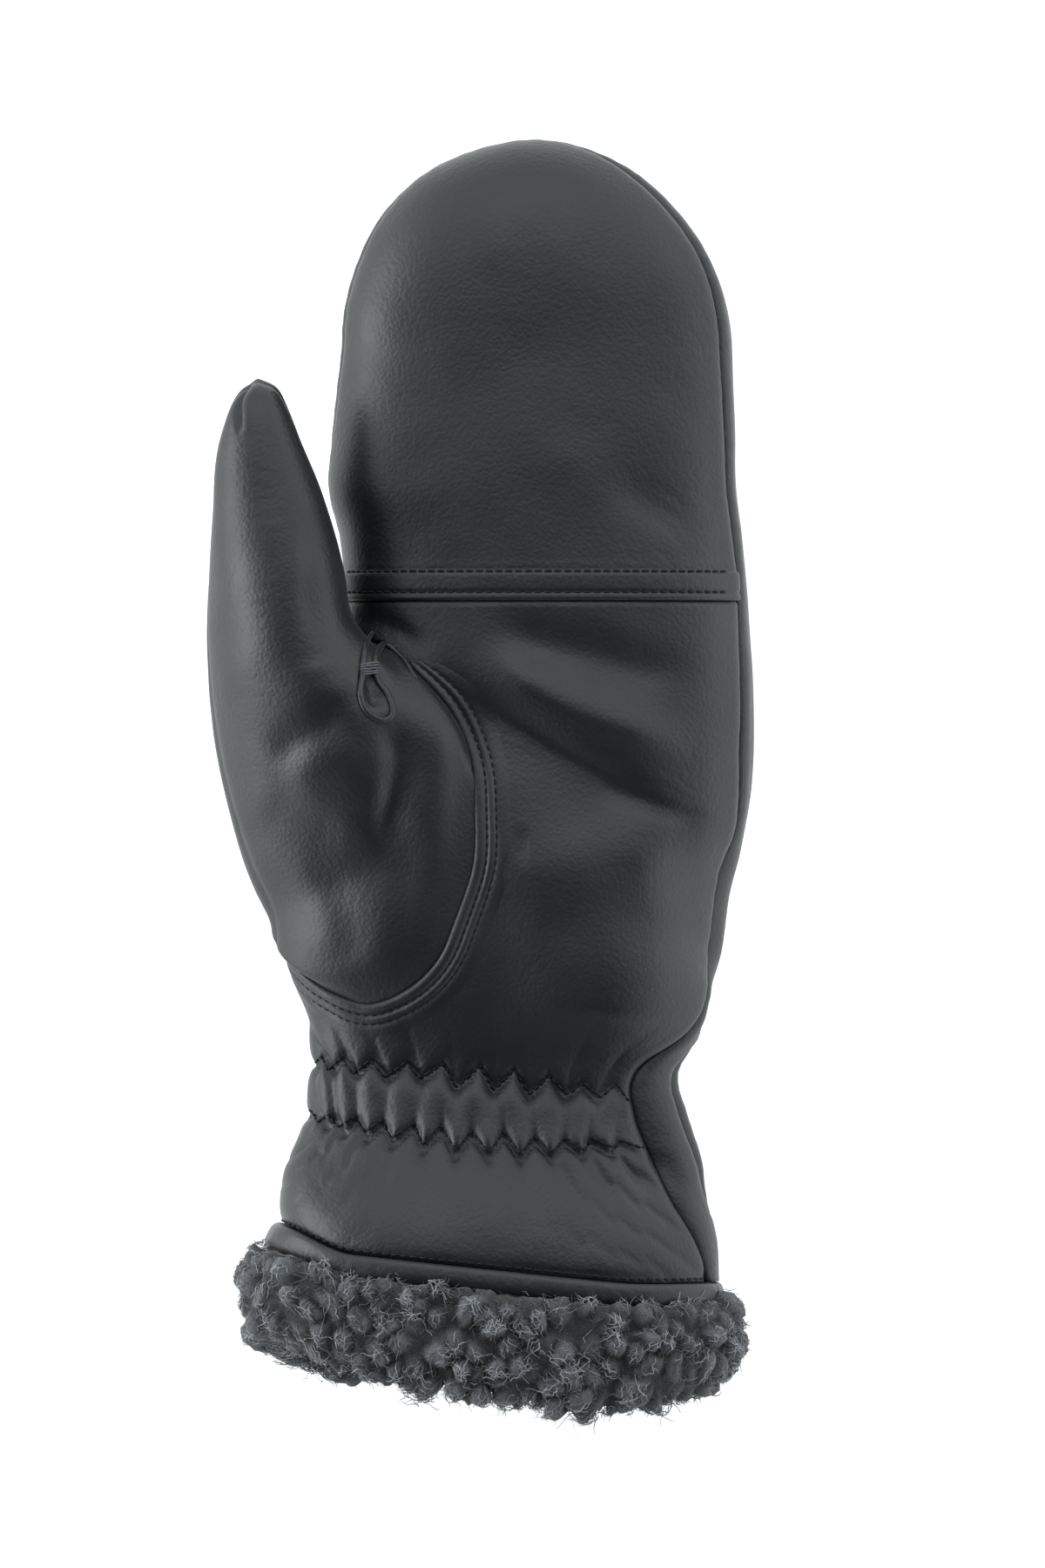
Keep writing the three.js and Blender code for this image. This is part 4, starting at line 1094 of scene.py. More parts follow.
def stitches(line, normals, length=1.45, gap=0.42, radius=0.17, sink=0.04):
    """A row of short threads that dive into the leather at both ends."""
    reach = reach_along(line)
    count = max(1, int(reach[-1] / (length + gap)))
    step = reach[-1] / count
    parts = []
    for k in range(count):
        start = k * step + gap / 2
        places = start + (step - gap) * STITCH_PLACES
        up = unit(points_at(places, reach, normals))
        spine = points_at(places, reach, line) + up * (STITCH_ARCH - sink)[:, None]
        parts.append(tube(spine, radius * STITCH_GIRTH, 6, up))
    return joined(parts)


ABOVE_ALL = 90.0  # a height over the whole mitten


def dropped(path, trees, lift, soften=2):
    """A path seen from above, laid on the surfaces below it: its points and their normals."""
    points, normals = [], []
    for x, y in path[:, :2]:
        best = None
        for tree in trees:
            place, normal, _, _ = tree.ray_cast(Vector((x, y, ABOVE_ALL)), Vector((0, 0, -1)))
            if place is not None and (best is None or place.z > best[0].z):
                best = (place, normal)
        if best:
            points.append(best[0][:])
            normals.append(best[1][:])
    points, normals = np.array(points), np.array(normals)
    evened(points[:, 2], soften)
    evened(normals, soften)
    normals = unit(normals)
    return points + normals * lift, normals


def legs(points, spacing):
    """Evenly spaced points on straight legs, for a zigzag."""
    corners = np.asarray(points, float)
    reach = reach_along(corners)
    return points_at(np.linspace(0, reach[-1], int(reach[-1] / spacing)), reach, corners)


def as_settled(path):
    """A path seen from above, bent as the pieces under it are."""
    path = np.asarray(path, float)
    return settled(np.column_stack([path, np.zeros(len(path))]))[:, :2]


# The folded edge of the palm round the thumb, with its two rows of stitches: out from the seam and up
SEAM_BAND = [
    (-0.55, -0.9),
    (-0.72, -0.1),
    (-0.62, 0.42),
    (-0.2, 0.78),
    (0.35, 0.9),
    (0.9, 0.82),
    (1.4, 0.55),
    (1.75, 0.24),
    (1.95, 0.16),
    (2.15, 0.26),
    (2.5, 0.52),
    (2.95, 0.6),
    (3.4, 0.46),
    (3.75, 0.14),
    (3.95, 0.05),
    (4.15, 0.12),
    (4.6, 0.26),
    (5.3, 0.26),
    (6.3, 0.12),
    (7.3, -0.06),
    (8.2, -0.45),
]
BAND_ROWS = (1.95, 3.95)  # out from the seam
BAND_TURNS = (4, 352)  # where it begins and ends, in degrees round the thumb
BAND_STEPS = 340


def seam_band(heel_tree, material):
    """The folded edge, laid on the heel's leather, and the lines that its two rows of stitches follow."""
    start, end = BAND_TURNS
    turns = np.linspace(start, end, BAND_STEPS)
    point, normal, out = thumb_seam(turns)
    for row in (point, normal, out):
        evened(row, 6)
    normal, out = unit(normal), unit(out)
    base = np.zeros((len(turns), len(SEAM_BAND), 3))
    ups = np.zeros_like(base)
    width = 0.4 + 0.6 * smooth(turns, start, start + 46)
    for j, (reach, _) in enumerate(SEAM_BAND):
        for i in range(len(turns)):
            away = reach * width[i]
            guess = point[i] + out[i] * max(away, 0.4)
            place, up, _, _ = heel_tree.find_nearest(Vector(guess))
            ups[i, j] = up if np.dot(up, normal[i]) > 0.3 else normal[i]
            base[i, j] = np.array(place) - out[i] * (max(away, 0.4) - away)
    evened(base, 5)
    evened(ups, 5)
    ups = unit(ups)
    ends = smooth(turns, start, start + 40) * (1 - smooth(turns, end - 14, end))
    height = np.array([h for _, h in SEAM_BAND])
    lift = np.where(height > 0, height * (0.06 + 0.94 * ends[:, None]), height)
    sunk = 0.8 * (1 - ends[:, None]) ** 4
    outer = base + ups * (lift - sunk)[..., None]
    inner = outer - ups * (1.1 + lift)[..., None].clip(0.5)
    points, faces = closed_sheet([(outer, inner)])
    band = mesh_piece("thumb_seam_edge", points, faces, material, "palm_leather")
    away = np.array([a for a, _ in SEAM_BAND])
    rows = []
    for row in BAND_ROWS:
        j = int(np.argmin(np.abs(away - row)))
        rows.append((outer[6:-6, j], ups[6:-6, j]))
    return band, rows


# The keyhole loop in the crotch, seen from above, and the bar of thread that draws its neck together
KEYHOLE = [
    (-32.4, 31.6), (-33.6, 29.2), (-34.1, 26.4), (-34.4, 23), (-34.9, 19.6), (-34.6, 17.4), (-33.6, 15.3),
    (-31.8, 13.9), (-29.9, 13.2), (-28.4, 14), (-28.0, 15.8), (-29, 18.6), (-31, 21.4), (-31.9, 24.2),
    (-31.4, 26.8), (-30.2, 28.8), (-28.4, 28.6), (-26.2, 26.2), (-23.6, 23), (-21.4, 20.4),
]
BAR_TACK = (-32.9, 24.0)
BAR_ARCH = np.array([-0.8, -0.1, 0.15, 0.05, 0, 0.05, 0.15, -0.1, -0.8])  # heights along a thread of it


def keyhole(trees, leather, thread):
    """The loop of turned leather and its bar of five threads, laid on what is below them."""
    line, normals = dropped(curve(KEYHOLE, 110), trees, 0.35, 10)
    share = np.linspace(0, 1, len(line))
    radius = 0.72 - 0.25 * smooth(share, 0.75, 1) - 0.2 * (1 - smooth(share, 0, 0.1))
    line = line - normals * (0.9 * smooth(share, 0.86, 1) + 0.5 * (1 - smooth(share, 0, 0.08)))[:, None]
    welt = tube(line, radius, 10, normals, 0.85)
    mesh_piece("thumb_keyhole_edge", *welt, leather, "binding_leather", ["thumb_keyhole_welt"])
    bars = []
    for k in range(5):
        y = BAR_TACK[1] + 0.42 * (k - 2)
        path = [(BAR_TACK[0] - 1.9, y - 0.15), (BAR_TACK[0], y + 0.1), (BAR_TACK[0] + 1.9, y + 0.1)]
        spine, up = dropped(curve(path, len(BAR_ARCH)), trees, 1.0, 2)
        bars.append(tube(spine + up * BAR_ARCH[:, None], 0.2, 6, up))
    mesh_piece("keyhole_bar_tack", *joined(bars), thread, "binding_leather")


# The cuff


def cuff_point(turn, out, down):
    """A point round the cuff: out from the leather's face and down past its edge."""
    turn = np.asarray(turn, float) % 360
    thumb_side = (turn > 90) & (turn < 270)
    angle = np.where(turn <= 90, turn, np.where(turn < 270, 180 - turn, turn - 360))
    along = np.maximum(-down, 0) / LEATHER_LENGTH / TIP_FROM
    station = np.where(thumb_side, along, 3 - along)
    point = smooth_hand(station, angle) + hand_normal(station, angle) * np.asarray(out)[..., None]
    point[..., 1] -= np.maximum(down, 0)
    return point


def cuff_turns(count):
    """Turns round the cuff, evenly spaced over its face."""
    fine = np.linspace(0, 360, 1441)
    reach = reach_along(cuff_point(fine, fine * 0, fine * 0))
    return np.interp(np.linspace(0, reach[-1], count + 1)[:-1], reach, fine), reach[-1]


def ring_mesh(grid):
    """Points and faces of a closed ring, from a grid of points round it and round its profile."""
    n, m = grid.shape[:2]
    i, j = np.meshgrid(np.arange(n), np.arange(m), indexing="ij")
    k, l = (i + 1) % n, (j + 1) % m
    quads = np.stack([i * m + j, k * m + j, k * m + l, i * m + l], -1).reshape(-1, 4)
    points = grid.reshape(-1, 3)
    return points, outward(points, quads.tolist())


BINDING_JOIN = 8.0  # from the cuff's right side, round the palm
BINDING_ROW = 0.6  # its row of stitches, from the leather's edge
BINDING_SQUARENESS = 2.6  # of its section: 2 is an ellipse


def cuff_binding(material):
    """The folded edge, a flat soft roll that widens at the thumb's side, with faint puckers across it."""
    turns, length = cuff_turns(560)
    around = np.linspace(0, 2 * np.pi, 22, endpoint=False)
    turn, a = np.meshgrid(turns, around, indexing="ij")
    place = np.interp(turn, turns, np.arange(len(turns)) / len(turns) * length)
    across = cuff_point(turns, turns * 0, turns * 0)[:, 0]
    wide = (smooth(-across, 20, 46) * np.sin(np.radians(turns)).clip(0, 1) ** 0.5)[:, None]
    pucker = wrinkle_warp(place * 0.55, a * 2.0)
    crease = 1 - np.abs(np.sin(np.pi * (place / 4.6 + 0.9 * pucker + 0.12 * np.sin(a)))) ** 0.6
    soft = 0.12 * crease * (0.5 + 0.5 * quick_dents(place, a)) - 0.08 * pucker
    thick, tall = 1.5 - soft, BINDING_DIAMETER / 2 + 0.25 + 0.75 * wide - 0.5 * soft
    knot = np.exp(-(((place - BINDING_JOIN) / 0.5) ** 2))
    tall, thick = tall * (1 - 0.12 * knot), thick * (1 - 0.12 * knot)
    power = BINDING_SQUARENESS
    square = (np.abs(np.cos(a)) ** power + np.abs(np.sin(a)) ** power) ** (-1 / power)
    down = tall * square * np.sin(a) + tall + SEAM_GAP
    flare = 3.0 * smooth(-across, 46, 56)[:, None] * (down / (2 * tall)).clip(0, 1)
    out = thick * square * np.cos(a) - WALL / 2 + 0.15 + flare
    grid = cuff_point(turn, out, down)
    grid[..., 2] = np.maximum(grid[..., 2], OVER_FLOOR)
    roll = ring_mesh(grid)
    return mesh_piece("cuff_binding_leather", *roll, material, "binding_leather", ["cuff_binding"])


# Profile of the wool's backing: out from the leather and down past its edge, as in the solid model
WOOL_BACKING = [
    dict(out=-9.2, down=-15.5, curls=0.4),
    dict(out=-6.4, down=-15.5, curls=0),
    dict(out=-5.6, down=-8, curls=0),
    dict(out=-4.6, down=1.0, curls=0),
    dict(out=-3.9, down=3.4, curls=0),
    dict(out=-2.6, down=5.1, curls=0),
    dict(out=-0.4, down=5.5, curls=0.3),
    dict(out=1.2, down=5.8, curls=0.8),
    dict(out=2.6, down=8.0, curls=1),
    dict(out=3.0, down=13, curls=1),
    dict(out=3.0, down=18, curls=1),
    dict(out=2.0, down=22, curls=1),
    dict(out=-0.2, down=24.6, curls=1),
    dict(out=-3.2, down=24.6, curls=0.9),
    dict(out=-5.2, down=20.5, curls=0.6),
    dict(out=-6.2, down=14, curls=0.5),
    dict(out=-6.6, down=4, curls=0.5),
    dict(out=-8.4, down=-6, curls=0.5),
]
WOOL_FALL = 27.0  # how far the drawn profile and its curls reach past the edge
# Where the wool ends, from the thumb's side to the other, with the points of the tufts that hang there
WOOL_EDGE = [
    (-60, -119), (-53, -120.5), (-47, -122), (-37, -121.6), (-33.5, -126), (-30.1, -128), (-26.8, -125.8),
    (-22.3, -130), (-16.8, -127), (-12.2, -132.4), (-7, -127.6), (-2.6, -131), (0.4, -129), (7.9, -133.4),
    (12.4, -133.6), (17.5, -130.3), (25, -132), (35.5, -129.4), (38, -125.5), (43, -119.5), (48, -117),
]
BACK_EDGE = -127.5  # where the wool ends on the back
LOCK_SIZE = 4.4  # from one lock to the next
LOCK_RISE = 2.5  # how high a whole one stands


def wool_point(turn, out, down):
    """A point on the wool. It stands out more at the thumb's side, and its end follows WOOL_EDGE."""
    edge = np.array(WOOL_EDGE, float)
    cuff = cuff_point(turn, np.asarray(out) * 0, np.asarray(out) * 0)
    thumb_side = smooth(-cuff[..., 0], 30, 50)
    proud = 3.2 * thumb_side * np.sin(np.pi * np.clip((down - 3) / 24, 0, 1))
    down = down + 1.3 * thumb_side * np.exp(-(((down - 6) / 2.5) ** 2))
    on_palm = smooth(np.sin(np.radians(turn)), -0.3, 0.3)
    end = np.interp(cuff[..., 0], edge[:, 0], edge[:, 1]) * on_palm + BACK_EDGE * (1 - on_palm)
    fall = (cuff[..., 1] - end) / WOOL_FALL
    return cuff_point(turn, out + proud, np.where(down > 5, 5 + (down - 5) * fall, down))


def surface_normals(grid):
    """The normals of a closed ring of points, all to one side."""
    around = np.roll(grid, -1, 0) - np.roll(grid, 1, 0)
    over = np.roll(grid, -1, 1) - np.roll(grid, 1, 1)
    normals = unit(np.cross(around, over))
    top = np.unravel_index(np.argmax(grid[..., 2]), grid.shape[:2])
    return normals if normals[top][2] > 0 else -normals


def lock_middles(grid, normals, share):
    """Where the locks sit: a jittered lattice on the backing, with each lock's axes, rise and size."""
    locks = []
    row = 0
    reach = np.cumsum(np.linalg.norm(np.diff(grid[0], axis=0, prepend=grid[0][-1:]), axis=1))
    while row < grid.shape[1]:
        if share[row] > 0.25:
            length = np.linalg.norm(np.roll(grid[:, row], -1, 0) - grid[:, row], axis=1).sum()
            count = int(length / LOCK_SIZE)
            places = (np.arange(count) + rng.uniform(0, 1) + rng.uniform(-0.4, 0.4, count)) / count
            for place in places:
                i = int(place % 1 * len(grid))
                j = int(np.clip(row + rng.integers(-3, 4), 0, grid.shape[1] - 1))
                out = normals[i, j]
                flow = unit(np.cross(out, rng.normal(size=3)))
                locks.append(
                    dict(
                        middle=grid[i, j],
                        out=out,
                        flow=flow,
                        side=np.cross(out, flow),
                        rise=LOCK_RISE * rng.uniform(0.35, 1.4) * share[row],
                        size=LOCK_SIZE * rng.uniform(0.42, 0.95),
                        long=rng.uniform(1.0, 1.5),
                        bend=rng.uniform(-0.16, 0.16),
                        phase=rng.uniform(0, 6.3),
                    )
                )
        row = int(np.searchsorted(reach, reach[row] + LOCK_SIZE * 0.9))
    return locks


def lock_dome(lock, u, v, deep=0.0):
    """How high a lock stands over its middle's plane, from 0 to 1, and how near its middle a place is."""
    sideways = (v - lock["bend"] * u * u) * lock["long"] ** 0.5
    near = np.sqrt((u / lock["long"]) ** 2 + sideways**2 + deep**2)
    return np.sqrt(np.maximum(1 - (near / lock["size"]) ** 2, 0)), near


FAR = 99.0  # further than any lock reaches
wool_small = Drift(2.2, 22)


def wool_backing(material):
    """The knitted backing, swollen under each lock of wool, and the locks that stand on it."""
    turns, length = cuff_turns(440)
    rows = np.array([[row["out"], row["down"], row["curls"]] for row in WOOL_BACKING])
    out, down, share = curve(np.vstack([rows, rows[:1]]), 115)[:-1].T
    turn = np.broadcast_to(turns[:, None], (len(turns), len(out)))
    grid = wool_point(turn, np.broadcast_to(out, turn.shape), np.broadcast_to(down, turn.shape))
    normals = surface_normals(grid)
    locks = lock_middles(grid, normals, share)
    points = grid.reshape(-1, 3)
    first = np.full(len(points), FAR)
    second = np.full(len(points), FAR)
    rise = np.zeros(len(points))
    for lock in locks:
        arm = points - lock["middle"]
        close = np.nonzero(np.linalg.norm(arm, axis=1) < 9)[0]
        arm = arm[close]
        u, v, deep = arm @ lock["flow"], arm @ lock["side"], arm @ lock["out"]
        dome, near = lock_dome(lock, u, v, deep)
        fibres = 0.1 * np.cos(2 * np.pi * v / 2.1 + lock["phase"] + 0.8 * np.sin(u * 1.3 + lock["phase"]))
        closer = near < first[close]
        second[close] = np.where(closer, first[close], np.minimum(second[close], near))
        rise[close] = np.where(closer, lock["rise"] * (dome + fibres), rise[close])
        first[close] = np.where(closer, near, first[close])
    crevice = smooth(second - first, -0.2, 1.5)
    rise = rise * (0.25 + 0.75 * crevice)
    place = (np.arange(len(turns))[:, None] + 0 * turn).ravel() / len(turns) * length
    row_place = (np.arange(turn.shape[1])[None, :] + 0 * turn).ravel() * 0.9
    rise += 0.45 * np.tile(share, len(turns)) * wool_small(place, row_place)
    shape = points + normals.reshape(-1, 3) * rise[:, None]
    shape[:, 2] = np.maximum(shape[:, 2], 0.05)
    grid = shape.reshape(grid.shape)
    piece = mesh_piece("wool_backing", *ring_mesh(grid), material, "curly_wool", ["sherpa_cuff"])
    # Kept for the material's painted shade: the pile's height, less in the crevices between the locks.
    height = piece.data.attributes.new("pile_painted_shade", "FLOAT", "POINT")
    height.data.foreach_set("value", np.clip(rise / LOCK_RISE, 0, 1) * crevice)
    return locks


def strands(lines, radius):
    """Points and triangles of many three-sided fibres. lines is fibre by fibre, point by point."""
    n, m = lines.shape[:2]
    along = unit(np.gradient(lines, axis=1))
    side = unit(np.cross(along, unit(rng.normal(size=(n, 1, 3)))))
    lift = np.cross(along, side)
    turn = 2 * np.pi * np.arange(3) / 3
    ring = side[:, :, None] * np.cos(turn)[:, None] + lift[:, :, None] * np.sin(turn)[:, None]
    points = lines[:, :, None] + np.asarray(radius)[..., None, None] * ring
    base = (np.arange(n) * m * 3)[:, None, None, None]
    i, j = np.arange(m - 1)[:, None], np.arange(3)[None, :]
    corner = np.stack([i * 3 + j, i * 3 + (j + 1) % 3, (i + 1) * 3 + (j + 1) % 3, (i + 1) * 3 + j], -1)
    walls = base + corner[None]
    walls = np.concatenate([walls[..., [0, 1, 2]], walls[..., [0, 2, 3]]]).reshape(-1, 3)
    caps = np.array([[2, 1, 0], [3 * m - 3, 3 * m - 2, 3 * m - 1]])
    caps = (base[:, :, 0] + caps[None]).reshape(-1, 3)
    return points.reshape(-1, 3), np.concatenate([walls, caps])


FIBRES_A_LOCK = 18  # on a lock that stands as high as LOCK_RISE
FIBRE_POINTS = 7
MOST_TRIANGLES = 190000  # in one piece of fibres


def wool_fibres(locks, materials):
    """Crimped fibres that lie along each lock, with ends that stand off. Their tones go by how high they
    stand: the pale ones on top are partly painted highlight, and those low by the floor are darker as
    painted shade.
    """
    t = np.linspace(-1, 1, FIBRE_POINTS)[None, :]
    lines, heights = [], []
    for lock in locks:
        if lock["middle"][2] < 1.2 or (lock["out"][2] < -0.4 and lock["middle"][2] < 8):
            continue
        count = int(FIBRES_A_LOCK * (lock["rise"] / LOCK_RISE) ** 0.5) + 3
        start = rng.normal(0, 0.5, (2, count, 1)) * lock["size"]
        half = rng.uniform(0.7, 1.7, (count, 1))
        lean = rng.normal(0, 0.55, (count, 1))
        hook = rng.normal(0, 0.8, (count, 1)) * (t + 0.5).clip(0) ** 2
        crimp = 0.24 * np.sin(2 * np.pi * half * t / 1.5 + lock["phase"] + rng.normal(0, 0.7, (count, 1)))
        along, across = half * t, crimp + hook
        u = start[0] + along * np.cos(lean) - across * np.sin(lean)
        v = start[1] + along * np.sin(lean) + across * np.cos(lean)
        free = 0.3 + 0.7 * float(smooth(lock["middle"][2], 2, 10))
        stand = rng.uniform(0.0, 0.55, (count, 1)) * free
        end = rng.exponential(0.35, (count, 1)) * t.clip(0) ** 2 * 1.6 * free
        dome = lock_dome(lock, u, v)[0]
        height = lock["rise"] * dome + stand + end - 0.1 - 0.25 * t.clip(None, 0) ** 2
        line = lock["middle"] + u[..., None] * lock["flow"] + v[..., None] * lock["side"]
        lines.append(line + height[..., None] * lock["out"] + rng.normal(0, 0.05, line.shape))
        # Painted shade: fibres of locks low by the floor are ranked darker.
        painted_shading = 0.7 * (1 - float(smooth(lock["middle"][2], 1, 8)))
        heights.append(stand[:, 0] / 0.55 * 0.6 + 0.4 * dome[:, 3] * lock["rise"] / LOCK_RISE - painted_shading)
    lines, heights = np.concatenate(lines), np.concatenate(heights)
    lines[..., 2] = np.maximum(lines[..., 2], 0.25)
    # The tones go by this rank, so the pale fibres stand on top as partly painted highlight.
    order = heights + rng.normal(0, 0.16, len(heights))
    tones = np.searchsorted(np.quantile(order, [0.4, 0.8]), order)
    profile = np.interp(t[0], [-1, -0.7, 0.5, 1], [0.75, 1.0, 0.9, 0.45])
    triangles = (FIBRE_POINTS - 1) * 6 + 2
    for tone, (name, material, thickness) in enumerate(materials):
        chosen = lines[tones == tone]
        parts = max(1, math.ceil(len(chosen) * triangles / MOST_TRIANGLES))
        for part, some in enumerate(np.array_split(chosen, parts)):
            radius = rng.uniform(0.7, 1.3, (len(some), 1)) * thickness * profile
            mesh_piece(f"{name}_{part + 1}", *strands(some, radius), material, "curly_wool")


# Materials


def linear(hex_colour):
    """A colour written as an sRGB hex value, in the linear values that Blender takes."""
    parts = [int(hex_colour[k : k + 2], 16) / 255 for k in (1, 3, 5)]
    return tuple([p / 12.92 if p <= 0.04045 else ((p + 0.055) / 1.055) ** 2.4 for p in parts] + [1.0])


def node(material, kind, inputs=None, **settings):
    """Adds a node to a material with its settings, and its inputs by value or by link."""
    made = material.node_tree.nodes.new(kind)
    for name, value in settings.items():
        setattr(made, name, value)
    for socket, value in (inputs or {}).items():
        if isinstance(value, bpy.types.NodeSocket):
            material.node_tree.links.new(value, made.inputs[socket])
        else:
            made.inputs[socket].default_value = value
    return made


def new_material(name):
    """A material with no nodes yet."""
    material = bpy.data.materials.new(name)
    material.use_nodes = True
    material.node_tree.nodes.clear()
    return material


def per_mm(size):
    """A texture's scale for features of a size in mm, on coordinates in metres."""
    return 1000.0 / size


def lamb_leather(name, dark, light, roughness, grain_depth):
    """Chrome-tanned lamb nappa, drum-dyed black with a thin satin finish: the eye gets a fine pebble of
    closed pores, soft broad highlights, and a slightly greyer, smoother skin where it is stretched. Its
    pores are 0.1 to 0.2 mm apart, too fine to show, so they are drawn at 0.35 mm."""
    material = new_material(name)
    where = node(material, "ShaderNodeTexCoord").outputs["Object"]
    pebble = node(
        material,
        "ShaderNodeTexVoronoi",
        {"Vector": where, "Scale": per_mm(0.75), "Randomness": 1.0},
        feature="SMOOTH_F1",
    )
    pores = node(material, "ShaderNodeTexNoise", {"Vector": where, "Scale": per_mm(0.35), "Detail": 3.0})
    creases = node(
        material,
        "ShaderNodeTexNoise",
        {"Vector": where, "Scale": per_mm(3.2), "Detail": 4.0, "Distortion": 0.6},
    )
    broad = node(material, "ShaderNodeTexNoise", {"Vector": where, "Scale": per_mm(24), "Detail": 3.0})
    tone = node(
        material,
        "ShaderNodeMix",
        {0: broad.outputs["Fac"], 6: linear(dark), 7: linear(light)},
        data_type="RGBA",
    )
    gloss = node(
        material,
        "ShaderNodeMapRange",
        {"Value": broad.outputs["Fac"], 1: 0.3, 2: 0.7, 3: roughness - 0.05, 4: roughness + 0.07},
    )
    coarse = node(
        material,
        "ShaderNodeBump",
        {"Height": creases.outputs["Fac"], "Strength": 0.12, "Distance": 0.0004},
    )
    pebbled = node(
        material,
        "ShaderNodeBump",
        {
            "Height": pebble.outputs["Distance"],
            "Strength": grain_depth,
            "Distance": 0.00025,
            "Normal": coarse.outputs[0],
        },
        invert=True,
    )
    fine = node(
        material,
        "ShaderNodeBump",
        {
            "Height": pores.outputs["Fac"],
            "Strength": 0.25,
            "Distance": 0.00008,
            "Normal": pebbled.outputs[0],
        },
    )
    skin = node(
        material,
        "ShaderNodeBsdfPrincipled",
        {
            "Base Color": tone.outputs[2],
            "Roughness": gloss.outputs[0],
            "Normal": fine.outputs[0],
            "IOR": 1.5,
            "Sheen Weight": 0.08,
            "Sheen Roughness": 0.4,
        },
    )
    node(material, "ShaderNodeOutputMaterial", {"Surface": skin.outputs[0]})
    return material


def bonded_thread(name, colour):
    """Bonded polyester sewing thread of 0.4 mm, twisted from three plies: a low gloss broken by the
    twist. Its stitches are up to 0.5 mm thick here, so that they show."""
    material = new_material(name)
    where = node(material, "ShaderNodeTexCoord").outputs["Object"]
    plies = node(material, "ShaderNodeTexNoise", {"Vector": where, "Scale": per_mm(0.3), "Detail": 2.0})
    twist = node(
        material,
        "ShaderNodeBump",
        {"Height": plies.outputs["Fac"], "Strength": 0.6, "Distance": 0.0001},
    )
    tone = node(
        material,
        "ShaderNodeMix",
        {0: plies.outputs["Fac"], 6: linear(colour[0]), 7: linear(colour[1])},
        data_type="RGBA",
    )
    skin = node(
        material,
        "ShaderNodeBsdfPrincipled",
        {
            "Base Color": tone.outputs[2],
            "Roughness": 0.62,
            "Normal": twist.outputs[0],
            "Specular IOR Level": 0.3,
        },
    )
    node(material, "ShaderNodeOutputMaterial", {"Surface": skin.outputs[0]})
    return material


def sheep_wool(name, root, tip, sheen):
    """Dyed sheep's wool, crimped in the pile: scaly fibres that scatter light softly, paler where they
    catch it. The scales are far too fine to show, so their roughness is drawn at 0.25 mm."""
    material = new_material(name)
    where = node(material, "ShaderNodeTexCoord").outputs["Object"]
    locks = node(material, "ShaderNodeTexNoise", {"Vector": where, "Scale": per_mm(4.5), "Detail": 3.0})
    tone = node(
        material,
        "ShaderNodeMix",
        {0: locks.outputs["Fac"], 6: linear(root), 7: linear(tip)},
        data_type="RGBA",
    )
    scales = node(material, "ShaderNodeTexNoise", {"Vector": where, "Scale": per_mm(0.25), "Detail": 2.0})
    rough = node(
        material,
        "ShaderNodeBump",
        {"Height": scales.outputs["Fac"], "Strength": 0.4, "Distance": 0.0001},
    )
    skin = node(
        material,
        "ShaderNodeBsdfPrincipled",
        {
            "Base Color": tone.outputs[2],
            "Roughness": 0.62,
            "Normal": rough.outputs[0],
            "Sheen Weight": sheen,
            "Sheen Roughness": 0.45,
        },
    )
    node(material, "ShaderNodeOutputMaterial", {"Surface": skin.outputs[0]})
    return material


# deep is the painted shade colour of the crevices; tip is the grey of the tops, partly painted highlight.
def wool_pile(name, deep, tip):
    """The mass of wool under the drawn fibres: painted shade, near black, in its crevices and low places,
    and grey tops streaked with fibres, partly painted highlight.
    Single fibres are too fine to show, so the streaks stand for small bunches of them."""
    material = new_material(name)
    where = node(material, "ShaderNodeTexCoord").outputs["Object"]
    # Painted shade: the pile's height, less in its crevices, darkens the colour towards the crevices and low
    # places.
    height = node(material, "ShaderNodeAttribute", {}, attribute_name="pile_painted_shade").outputs["Fac"]
    tufts = node(
        material,
        "ShaderNodeTexNoise",
        {"Vector": where, "Scale": per_mm(1.3), "Detail": 5.0, "Roughness": 0.75},
    )
    curls = node(
        material,
        "ShaderNodeTexNoise",
        {"Vector": where, "Scale": per_mm(0.9), "Detail": 4.0, "Roughness": 0.7, "Distortion": 3.0},
    )
    streaked = node(
        material,
        "ShaderNodeMapRange",
        {"Value": curls.outputs["Fac"], 1: 0.36, 2: 0.66, 3: 0.35, 4: 1.6},
    )
    grown = node(material, "ShaderNodeMath", {0: height, 1: tufts.outputs["Fac"]}, operation="MULTIPLY")
    mixed = node(
        material,
        "ShaderNodeMath",
        {0: grown.outputs[0], 1: streaked.outputs[0]},
        operation="MULTIPLY",
    )
    # Painted shading: near black where the pile is low or in a crevice, grey on the locks' tops as partly
    # painted highlight.
    painted_shading = node(material, "ShaderNodeMapRange", {"Value": mixed.outputs[0], 1: 0.06, 2: 0.55})
    tone = node(
        material,
        "ShaderNodeMix",
        {0: painted_shading.outputs[0], 6: linear(deep), 7: linear(tip)},
        data_type="RGBA",
    )
    streaks = node(
        material,
        "ShaderNodeTexNoise",
        {"Vector": where, "Scale": per_mm(0.45), "Detail": 3.0, "Distortion": 2.5},
    )
    fuzz = node(
        material,
        "ShaderNodeBump",
        {"Height": streaks.outputs["Fac"], "Strength": 1.0, "Distance": 0.0008},
    )
    skin = node(
        material,
        "ShaderNodeBsdfPrincipled",
        {
            "Base Color": tone.outputs[2],
            "Roughness": 0.85,
            "Normal": fuzz.outputs[0],
            "Sheen Weight": 0.25,
            "Sheen Roughness": 0.5,
        },
    )
    node(material, "ShaderNodeOutputMaterial", {"Surface": skin.outputs[0]})
    return material


